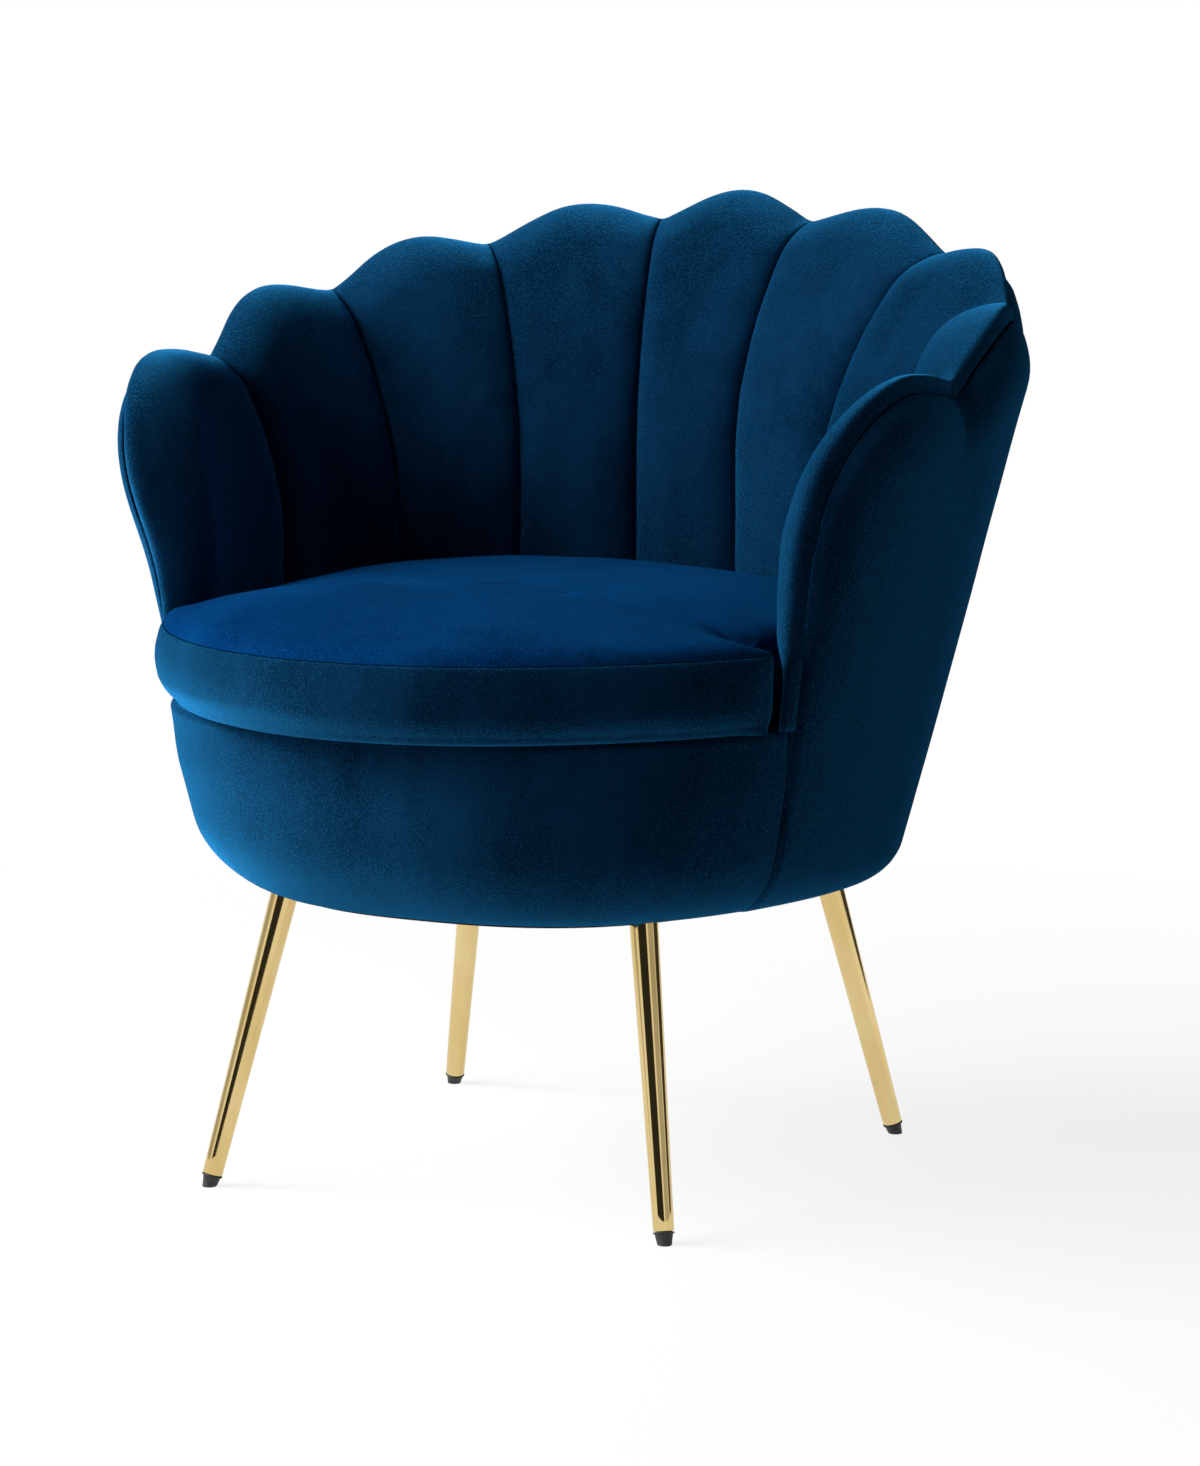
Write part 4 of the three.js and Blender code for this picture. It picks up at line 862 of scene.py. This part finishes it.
BORDER_TURN, BORDER_TURN_IN, BORDER_LEAN = 0.021, 0.62, 0.004
HEM_DEPTH, HEM_RISE, HEM_WIDTH = 0.0005, 0.006, 0.0016
SEAM_GROOVE, SEAM_WIDTH, SEAM_BAND = 0.0026, 0.0018, 3
BORDER_SLOT, PANEL_SLOT, SEAM_SLOT = 0, 1, 2

# Rows of points: over the top panel as shares of the way out, and down the border as drops below the seam
PANEL_ROWS, BORDER_ROWS, PANEL_EVEN, PANEL_MIDDLE = 40, 34, 60, 0.042
PANEL_REACHES = 1 - np.concatenate([[0.985], np.linspace(0.93, 0.03, PANEL_ROWS),
                                    [0.02, 0.012, 0.0075, 0.0045, 0.0022]])
BORDER_DROPS = np.concatenate([[0, 0.0008, 0.0018, 0.003, 0.0045],
                               np.linspace(0.007, BORDER_HEIGHT, BORDER_ROWS)])
UNDER_REACHES = 0.93, 0.93 * 0.4


def cushion_half():
    """The cushion's outline from the rear middle to the front middle, round the tub's axis."""
    inset = SEAT_CHANNEL_DEPTH + CUSHION_GAP
    angle = np.linspace(0, np.pi / 2, REAR_STEPS)
    radius = oval(angle, INNER_SIDE - inset, INNER_REAR - inset, INNER_POWER)
    run = np.linspace(ARM_SIDE_START, ARM_SPAN, ARM_SIDE_STEPS)
    turn = arm_angle(run)
    depth = arm_depth(run, PAD_BOTTOM + 0 * run) + tuck(turn, PAD_BOTTOM) + CUSHION_GAP
    radius = np.concatenate([radius, wall_line(turn, PAD_BOTTOM) - depth])
    angle = np.concatenate([angle, turn])
    inside = np.stack([radius * np.sin(angle), radius * np.cos(angle)], 1)
    start = math.asin((EAR_CORNER - NECK) / NOSE_REACH)
    turn = np.linspace(np.pi / 2, 0, EAR_STEPS)
    corner = [NOSE_HALF_WIDTH * math.cos(start) - EAR_CORNER, NECK - EAR_CORNER]
    ear = corner + EAR_CORNER * np.stack([np.cos(turn), np.sin(turn)], 1)
    turn = np.linspace(start, np.pi / 2, NOSE_STEPS)[1:]
    nose = np.stack([NOSE_HALF_WIDTH * np.cos(turn), -NOSE_REACH * np.sin(turn)], 1)
    return np.concatenate([inside, [inside[-1, 0], NECK] + NECK_POINTS, ear, nose])


def even_spacing(points, count):
    """The same closed line with evenly spaced points."""
    closed = np.concatenate([points, points[:1]])
    reach = np.concatenate([[0], np.cumsum(np.linalg.norm(np.diff(closed, axis=0), axis=1))])
    marks = np.linspace(0, reach[-1], count, endpoint=False)
    return np.stack([np.interp(marks, reach, closed[:, axis]) for axis in (0, 1)], 1)


def cushion_outline():
    right = cushion_half()
    left = right[1:-1][::-1] * [-1, 1]
    outline = even_spacing(np.concatenate([right, left]), CUSHION_COLUMNS)
    ahead = smooth((NECK + EAR_CORNER / 2 - outline[:, 1]) / (EAR_CORNER * 0.75))
    pushed = EAR_PUSH * ahead * smooth((outline[:, 0] - EAR_PUSH_START) / EAR_PUSH_RUN)
    return outline + np.stack([pushed, 0 * pushed], 1)


def outline_normals(outline):
    along = np.roll(outline, -1, 0) - np.roll(outline, 1, 0)
    normal = np.stack([-along[:, 1], along[:, 0]], 1)
    return normal / np.linalg.norm(normal, axis=1, keepdims=True)


def outline_distance(spots, outline):
    """Signed distance in plan from the cushion's sewn edge, positive outside."""
    step = (np.roll(outline, -1, 0) - outline) / EDGE_PARTS
    dense = np.concatenate([outline + step * part for part in range(EDGE_PARTS)])
    normals = np.tile(outline_normals(outline), (EDGE_PARTS, 1))
    tree = KDTree(len(dense))
    for index, (x, y) in enumerate(dense):
        tree.insert((x, y, 0), index)
    tree.balance()
    nearest = np.array([tree.find((x, y, 0))[1] for x, y in spots])
    offset = spots - dense[nearest]
    across = (offset * normals[nearest]).sum(1)
    reach = np.linalg.norm(offset, axis=1)
    return across + (np.sign(across) * reach - across) * smooth((reach - NEAR_EDGE) / NEAR_EDGE_RUN)


def panel_crown(distance):
    """Rise of the top panel above its seam, by how far in from the sewn edge."""
    shoulder = SHOULDER_RISE * (1 - np.exp(-distance / SHOULDER_RUN))
    return shoulder + (CROWN_RISE - SHOULDER_RISE) * (1 - (1 - np.clip(distance / CROWN_RUN, 0, 1)) ** 2)


def evened(values, width):
    """A ring of values, averaged along the ring over about `width` of them."""
    if width < 1:
        return values
    offset = np.arange(len(values))
    offset = np.minimum(offset, len(values) - offset)
    weight = np.exp(-(offset / width) ** 2)
    return np.fft.irfft(np.fft.rfft(values) * np.fft.rfft(weight / weight.sum()), len(values))


def sewn_groove(distance):
    return SEAM_GROOVE * np.exp(-(distance / SEAM_WIDTH) ** 2)


def cushion_rows():
    """Points of the top panel from its middle out to the seam, and of the border down to the underside."""
    outline = cushion_outline()
    normals = outline_normals(outline)
    nose = smooth((NECK - outline[:, 1]) / NOSE_RUN)
    middle = np.array([0, NECK + PANEL_MIDDLE])
    rows = []

    def add_row(flat, height):
        rows.append(np.concatenate([flat, (height + 0 * nose)[:, None]], 1))

    for reach in PANEL_REACHES:
        flat = middle + (outline - middle) * reach
        inward = np.maximum(0, -outline_distance(flat, outline))
        rise = evened(panel_crown(inward), PANEL_EVEN * (1 - reach))
        add_row(flat, CUSHION_SEAM + rise - sewn_groove(inward))
    for drop in BORDER_DROPS:
        turn = max(0, 1 - (BORDER_HEIGHT - drop) / BORDER_TURN)
        out = BORDER_BULGE * np.sin(np.pi * min(1, drop / (BORDER_HEIGHT - BULGE_RISE))) ** BULGE_POWER
        out -= BORDER_TURN * BORDER_TURN_IN * (1 - math.sqrt(1 - turn ** 2))
        hem = HEM_DEPTH * math.exp(-((drop - BORDER_HEIGHT + HEM_RISE) / HEM_WIDTH) ** 2)
        move = out * nose - (sewn_groove(drop) + hem + BORDER_LEAN * turn)
        add_row(outline + normals * move[:, None], CUSHION_SEAM - drop)
    foot = rows[-1][:, :2]
    for reach in UNDER_REACHES:
        add_row(middle + (foot - middle) * reach, CUSHION_BOTTOM)
    return np.array(rows), len(PANEL_REACHES)


NOSE_SAG, SAG_START, SAG_BACK, SAG_RUN = 0.0005, 0.03, 0.02, 0.05


def sagged(spots):
    """The nose hangs a little over the apron's rolled edge."""
    across, along = spots[..., 0], spots[..., 1] - axis_y
    beyond = np.hypot(across, along) - wall_line(np.arctan2(across, along), DECK)
    fall = smooth((beyond + SAG_START) / SAG_RUN) * smooth((NECK + SAG_BACK - along) / SAG_RUN)
    return spots - upward(NOSE_SAG * fall)


def cushion_mesh():
    """The cushion's points, its faces and the material slot of each face."""
    rows, panel_rows = cushion_rows()
    rows[..., 1] += axis_y
    count = rows.shape[1]
    points = np.concatenate([rows.reshape(-1, 3), [rows[0].mean(0)], [rows[-1].mean(0)]])
    last = (len(rows) - 1) * count
    faces = ring_faces(len(rows), count)[:last]
    slots = [PANEL_SLOT] * (panel_rows - 1) * count + [SEAM_SLOT] * SEAM_BAND * count
    slots += [BORDER_SLOT] * (last - len(slots))
    for slot in range(count):
        after = (slot + 1) % count
        faces += [(len(points) - 2, after, slot), (last + slot, last + after, len(points) - 1)]
        slots += [PANEL_SLOT, BORDER_SLOT]
    return points, faces, slots


def apply_modifiers(piece):
    bpy.context.view_layer.update()
    evaluated = piece.evaluated_get(bpy.context.evaluated_depsgraph_get())
    mesh = bpy.data.meshes.new_from_object(evaluated)
    piece.modifiers.clear()
    old = piece.data
    piece.data = mesh
    bpy.data.meshes.remove(old)


DENT_SIDE, DENT_FRONT, DENT_WIDTH, DENT_DEPTH, DENT_STRETCH = 0.232, 0.205, 0.018, 0.010, 1.5
PANEL_WAVES = ((0.0022, 7, 62), (0.0006, 26, 63))
BORDER_WRINKLES, EDGE_WRINKLES = ((0.0011, 85, 61, (1, 0.18, 1)),), ((0.0009, 60, 64),)

# The border's wrinkles are strongest here, in radians from the front towards the left
WRINKLE_ANGLE, WRINKLE_SPREAD, WRINKLE_REST = -0.72, 0.13, 0.4
WRINKLE_SLANT, SEAM_FADE, BORDER_FADE, EDGE_FADE, NECK_FADE = 0.5, 0.004, 0.024, 0.02, 0.02

# The filling is held at the sewn edge and the underside, and free further off
HELD_EDGE, HELD_BOTTOM, FREE_RUN = 0.003, 0.004, 0.02
CUSHION_CAP = 0.004
SIM_FRAMES = 12
FILLING = {"quality": 6, "mass": 0.25, "tension_stiffness": 18, "compression_stiffness": 18,
           "shear_stiffness": 8, "bending_stiffness": 1.5, "use_pressure": True, "uniform_pressure_force": 4}


def inflate(piece, free):
    """Blows the cushion up like a filled case, its seams held, and keeps every point near its start."""
    held = piece.vertex_groups.new(name="held")
    for index, share in enumerate(free):
        held.add([index], float(1 - share), "REPLACE")
    cloth = piece.modifiers.new("Filling", "CLOTH")
    for label, value in FILLING.items():
        setattr(cloth.settings, label, value)
    cloth.settings.vertex_group_mass = "held"
    cloth.settings.effector_weights.gravity = 0
    cloth.collision_settings.use_self_collision = False
    cloth.point_cache.frame_start = 1
    cloth.point_cache.frame_end = SIM_FRAMES
    rest = vectors_of(piece.data)
    for step in range(1, SIM_FRAMES + 1):
        bpy.context.scene.frame_set(step)
    apply_modifiers(piece)
    bpy.context.scene.frame_set(1)
    piece.vertex_groups.clear()
    move = vectors_of(piece.data) - rest
    length = np.linalg.norm(move, axis=1, keepdims=True)
    return move * np.minimum(1, CUSHION_CAP / np.maximum(length, 1e-9)) * free[:, None]


def soft_marks(points, free):
    """Gentle unevenness of the filling, wrinkles down the border and a dent beside the right arm."""
    below = CUSHION_SEAM - points[:, 2]
    across, ahead = points[:, 0], axis_y - points[:, 1]
    turn = np.arctan2(across, ahead)
    along = np.stack([turn * NOSE_REACH - WRINKLE_SLANT * points[:, 2], points[:, 2], 0 * turn], 1)
    border = smooth((NECK + ahead) / NECK_FADE) * smooth(below / SEAM_FADE) * np.exp(-below / BORDER_FADE)
    left = WRINKLE_REST + np.exp(-((turn - WRINKLE_ANGLE) / WRINKLE_SPREAD) ** 2)
    above = smooth(-below / SEAM_FADE)
    distance = outline_distance(points[:, :2], cushion_outline() + [0, axis_y])
    marks = waves(along, BORDER_WRINKLES) * border * left + waves(points, PANEL_WAVES) * free
    marks += waves(along, EDGE_WRINKLES) * above * np.exp(-np.abs(distance) / EDGE_FADE)
    dent = np.hypot((across - DENT_SIDE) / DENT_STRETCH, ahead - DENT_FRONT)
    return marks, DENT_DEPTH * above * np.exp(-(dent / DENT_WIDTH) ** 2)


def seat_cushion():
    points, faces, slots = cushion_mesh()
    piece = new_piece("seat_cushion_velvet", points, faces, blue_velvet, CUSHION, "blue_velvet",
                      ["cushion_cover", "cushion_core"])
    outline = cushion_outline() + [0, axis_y]
    edge = np.hypot(np.minimum(0, outline_distance(points[:, :2], outline)), points[:, 2] - CUSHION_SEAM)
    above = points[:, 2] - CUSHION_BOTTOM
    free = smooth((edge - HELD_EDGE) / FREE_RUN) * smooth((above - HELD_BOTTOM) / FREE_RUN)
    move = inflate(piece, free)
    mesh = piece.data
    outwards, down = soft_marks(points, free)
    spots = points + move + vectors_of(mesh, "normal") * outwards[:, None] - upward(down)
    spots[:, 2] = np.maximum(spots[:, 2], CUSHION_BOTTOM)
    mesh.vertices.foreach_set("co", sagged(hold_in_tub(spots, outline)).ravel())
    mesh.update()
    # The top panel takes the velvet painted lighter for the light from above, and the sewn band takes the
    # painted seam shade.
    mesh.materials.clear()
    for material in (blue_velvet, top_panel_velvet_painted_lighter, seam_shade_velvet):
        mesh.materials.append(material)
    for polygon, slot in zip(mesh.polygons, slots):
        polygon.material_index = slot
        polygon.use_smooth = True


def hold_in_tub(spots, outline):
    """Keeps the cushion inside the arms and the back."""
    out = np.maximum(0, outline_distance(spots[:, :2], outline)) * (spots[:, 1] > NECK + axis_y)
    inward = np.array([0, axis_y]) - spots[:, :2]
    inward /= np.maximum(np.linalg.norm(inward, axis=1, keepdims=True), 1e-9)
    return np.concatenate([spots[:, :2] + inward * out[:, None], spots[:, 2:]], 1)


seat_cushion()


# Seat deck under the cushion, and the dust cover below the seat

DISC_COLUMNS, DISC_RINGS, DISC_MIDDLE, DISC_LOW = 144, 14, 0.0004, 0.9
DISC_WAVES = ((0.0006, 40, 71),)


def disc(name, replaced, height, inset, thickness, crown_rise):
    """A round cloth panel over the seat's plan, crowned by `crown_rise` and slightly uneven."""
    angle = np.linspace(0, 2 * np.pi, DISC_COLUMNS + 1)[None, :-1]
    reach = np.sqrt(np.linspace(DISC_MIDDLE, 1, DISC_RINGS))[:, None]
    radius = (wall_line(angle, height) - inset) * reach
    top = round_axis(angle, radius, height + crown_rise * (1 - reach ** 4))
    top[..., 2] += waves(top, DISC_WAVES) * (1 - reach ** 8)
    low = top - [0, 0, thickness]
    if crown_rise:
        low[..., 2] = np.minimum(low[..., 2], height - thickness * DISC_LOW)
    points = np.concatenate([top, low[::-1]]).reshape(-1, 3)
    faces = capped_faces(2 * DISC_RINGS, DISC_COLUMNS)
    return new_piece(name, points, faces, black_cloth, TUB, "black_cloth", [replaced])


deck_low, deck_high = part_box("seat_deck")
deck = disc("seat_deck_cloth", "seat_deck", DECK - 0.0015, 0.017, deck_high.z - deck_low.z - 0.002, 0.0012)
dust_low, dust_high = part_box("dust_cover")
dust = disc("dust_cover_cloth", "dust_cover", dust_high.z, 0.060, 0.0012, 0.0)


# Legs and foot caps

# Where each leg's axis meets the board, to the side and behind the tub's axis, each with its slope
LEG_PLACES = {"front": (0.1505, 0.182, -0.205, -0.208), "rear": (0.1545, 0.202, 0.106, 0.204)}
LEG_TOP_RADIUS, LEG_FOOT_RADIUS, LEG_WALL = 0.011, 0.0077, 0.0012
LEG_SIDES, SHARP_ANGLE = 64, math.radians(40)

# The tube's foot is eased, from steps up the axis and inwards. Further up it has rings at these shares
LEG_EASE = ((0, 0.0004), (0, 0.00015), (0.0003, 0))
LEG_RINGS = (0.1, 0.25, 0.5, 0.75, 0.9)

# A foot cap from its sole up to its rim, and its plug. "at" is a distance along the axis, "level" a height
CAP_PROFILE = [("level", 0, 0.0050), ("level", 0.0004, 0.0055), ("at", 0.0030, 0.0059),
               ("at", 0.0077, 0.0068), ("at", 0.0080, 0.0071), ("at", 0.0082, 0.0078),
               ("at", 0.0085, 0.0080), ("at", 0.0092, 0.0080), ("at", 0.0095, 0.0077)]
CAP_HEIGHT, CAP_PLUG, PLAY = 0.0095, 0.013, 0.0003
leg_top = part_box("leg_front_right")[1].z


def leg_point(side, end, height):
    spread, spread_share, reach, reach_share = LEG_PLACES[end]
    drop = leg_top - height
    return Vector((side * (spread + spread_share * drop), axis_y + reach + reach_share * drop, height))


def tilted(start, axis, rings):
    """Rings of points round an axis, from their kind, place and radius."""
    right = Vector((0, 0, 1)).cross(axis).normalized()
    ahead = axis.cross(right)
    points = []
    for kind, where, radius in rings:
        for side in range(LEG_SIDES):
            turn = 2 * math.pi * side / LEG_SIDES
            base = start + right * (math.cos(turn) * radius) + ahead * (math.sin(turn) * radius)
            along = where if kind == "at" else (where - base.z) / axis.z
            points.append(base + axis * along)
    return points


def turned_piece(name, points, faces, material, slot, replaced):
    """A turned part, with crisp edges."""
    piece = new_piece(name, points, faces, material, TUB, slot, [replaced])
    for edge in piece.data.edges:
        edge.use_edge_sharp = False
    piece.data.set_sharp_from_angle(angle=SHARP_ANGLE)


def leg_and_cap(end, side_name, side):
    name = f"{end}_{side_name}"
    start, top = leg_point(side, end, 0), leg_point(side, end, leg_top)
    length = (top - start).length
    axis = (top - start).normalized()

    def radius(along):
        return LEG_FOOT_RADIUS + (LEG_TOP_RADIUS - LEG_FOOT_RADIUS) * along / length

    foot = CAP_HEIGHT + 2 * PLAY
    foot_radius = radius(CAP_HEIGHT + PLAY)
    rings = [("at", foot + up, foot_radius - inward) for up, inward in LEG_EASE]
    rings += [("at", length * share, radius(length * share)) for share in LEG_RINGS]
    rings += [("level", leg_top, radius(length)), ("level", leg_top, radius(length) - LEG_WALL),
              ("at", foot, foot_radius - LEG_WALL)]
    turned_piece(f"leg_{name}_tube", tilted(start, axis, rings), ring_faces(len(rings), LEG_SIDES), gold,
                 "gold_metal", f"leg_{name}")
    plug = radius(CAP_HEIGHT) - LEG_WALL - PLAY
    rings = CAP_PROFILE + [("at", CAP_HEIGHT, plug), ("at", CAP_HEIGHT + CAP_PLUG, plug)]
    turned_piece(f"foot_cap_{name}_moulded", tilted(start, axis, rings), capped_faces(len(rings), LEG_SIDES),
                 black_plastic, "black_plastic", f"foot_cap_{name}")


for end_name in LEG_PLACES:
    for side_name, side in (("left", -1), ("right", 1)):
        leg_and_cap(end_name, side_name, side)


# Finishes of the parts that the covers hide

def dress(prefixes, material):
    for name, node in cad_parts.items():
        if name.startswith(prefixes):
            node.data.materials.clear()
            node.data.materials.append(material)


dress(("back_slat", "seat_board"), plywood)
dress(("front_rail", "rear_rail", "left_rail", "right_rail"), pine)
dress(("cross_webbing", "long_webbing"), webbing)
dress(("cushion_core",), foam)
dress(("leg_plate", "leg_screw"), steel)


# Studio: pale floor and surround, two soft lights from the left and a weak one from behind on the right

def stage_object(name, vertices, faces, material):
    mesh = bpy.data.meshes.new(name)
    mesh.from_pydata(vertices, [], faces)
    mesh.materials.append(material)
    piece = in_scene(name, mesh)
    return piece


FLOOR_HALF = 12.0
FLOOR_SHADE, SEEN_SHADE = 0.6, 0.95
SHADOW_REACH, NEAR_GLOW = (0.55, 1.5), 0.84
AMBIENT = 0.035


def seen_directly(tree):
    """The light path node, and a mask of the rays that reach a surface from the camera or by a reflection."""
    path = tree.nodes.new("ShaderNodeLightPath").outputs
    seen = add_math(tree, "MAXIMUM", path["Is Camera Ray"], path["Is Glossy Ray"])
    return path, add_math(tree, "MAXIMUM", seen, path["Is Transmission Ray"])


def studio_material():
    """Pale floor paint that keeps shadows, and is white to the camera and in reflections."""
    material, tree = new_material("Studio floor")
    principled = tree.nodes["Principled BSDF"]
    path, seen = seen_directly(tree)
    put(tree, principled.inputs["Roughness"], 0.9)
    put(tree, principled.inputs["Specular IOR Level"], 0)
    shade = add_mix(tree, path["Is Camera Ray"], (FLOOR_SHADE,) * 3, (SEEN_SHADE,) * 3)
    put(tree, principled.inputs["Base Color"], shade)
    reach = tree.nodes.new("ShaderNodeVectorMath")
    reach.operation = "LENGTH"
    put(tree, reach.inputs[0], tree.nodes.new("ShaderNodeTexCoord").outputs["Object"])
    far = add_range(tree, reach.outputs["Value"], *SHADOW_REACH, NEAR_GLOW, 1.0)
    blend = tree.nodes.new("ShaderNodeMixShader")
    put(tree, blend.inputs["Fac"], add_math(tree, "MULTIPLY", seen, far))
    tree.links.new(principled.outputs["BSDF"], blend.inputs[1])
    tree.links.new(tree.nodes.new("ShaderNodeEmission").outputs["Emission"], blend.inputs[2])
    tree.links.new(blend.outputs["Shader"], tree.nodes["Material Output"].inputs["Surface"])
    return material


floor_corners = [(x * FLOOR_HALF, y * FLOOR_HALF, 0) for x, y in ((-1, -1), (1, -1), (1, 1), (-1, 1))]
stage_object("studio_floor", floor_corners, [(0, 1, 2, 3)], studio_material())


def make_world():
    world = bpy.data.worlds.new("Studio surround")
    bpy.context.scene.world = world
    world.use_nodes = True
    tree = world.node_tree
    background = tree.nodes["Background"].inputs
    put(tree, background["Color"], (1, 1, 1))
    put(tree, background["Strength"], add_range(tree, seen_directly(tree)[1], 0, 1, AMBIENT, 1.0))


make_world()


LIGHT_TARGET, LIGHT_DISTANCE = 0.45, 3.2


def area_light(name, azimuth, elevation, size, power):
    data = bpy.data.lights.new(name, "AREA")
    data.shape = "DISK"
    data.size = size
    data.energy = power
    lamp = in_scene(name, data)
    lamp.location = Vector((0, axis_y, LIGHT_TARGET)) + towards(azimuth, elevation) * LIGHT_DISTANCE
    lamp.rotation_euler = facing(towards(azimuth, elevation)).to_euler()


area_light("Left soft light", -66, 28, 1.7, 140)
area_light("Front left soft light", -34, 24, 1.7, 88)
area_light("Light behind right", 152, 46, 1.6, 4)


CARD_DISTANCE, CARD_HEIGHT = 4.2, 3.5


def dark_card(name, azimuth, width, shade):
    """An upright card out of sight, that only polished metal shows, as the dark streaks along the legs."""
    across = towards(azimuth + 90, 0) * (width / 2)
    base = Vector((0, axis_y, 0)) + towards(azimuth, 0) * CARD_DISTANCE
    top = base + Vector((0, 0, CARD_HEIGHT))
    material, tree = new_material(name)
    glow = tree.nodes.new("ShaderNodeEmission")
    put(tree, glow.inputs["Strength"], shade)
    tree.links.new(glow.outputs["Emission"], tree.nodes["Material Output"].inputs["Surface"])
    corners = [base - across, base + across, top + across, top - across]
    card = stage_object(name, corners, [(0, 1, 2, 3)], material)
    card.visible_camera = card.visible_diffuse = card.visible_shadow = card.visible_transmission = False


dark_card("card_by_the_camera", 8, 5.4, 0.03)
dark_card("card_at_the_right", 140, 6.0, 0.05)
dark_card("card_behind", 178, 4.2, 0.05)
dark_card("card_right_of_the_camera", 76, 3.4, 0.5)
dark_card("card_at_the_left", -70, 3.6, 0.5)

view = bpy.context.scene.view_settings
view.view_transform = "Standard"
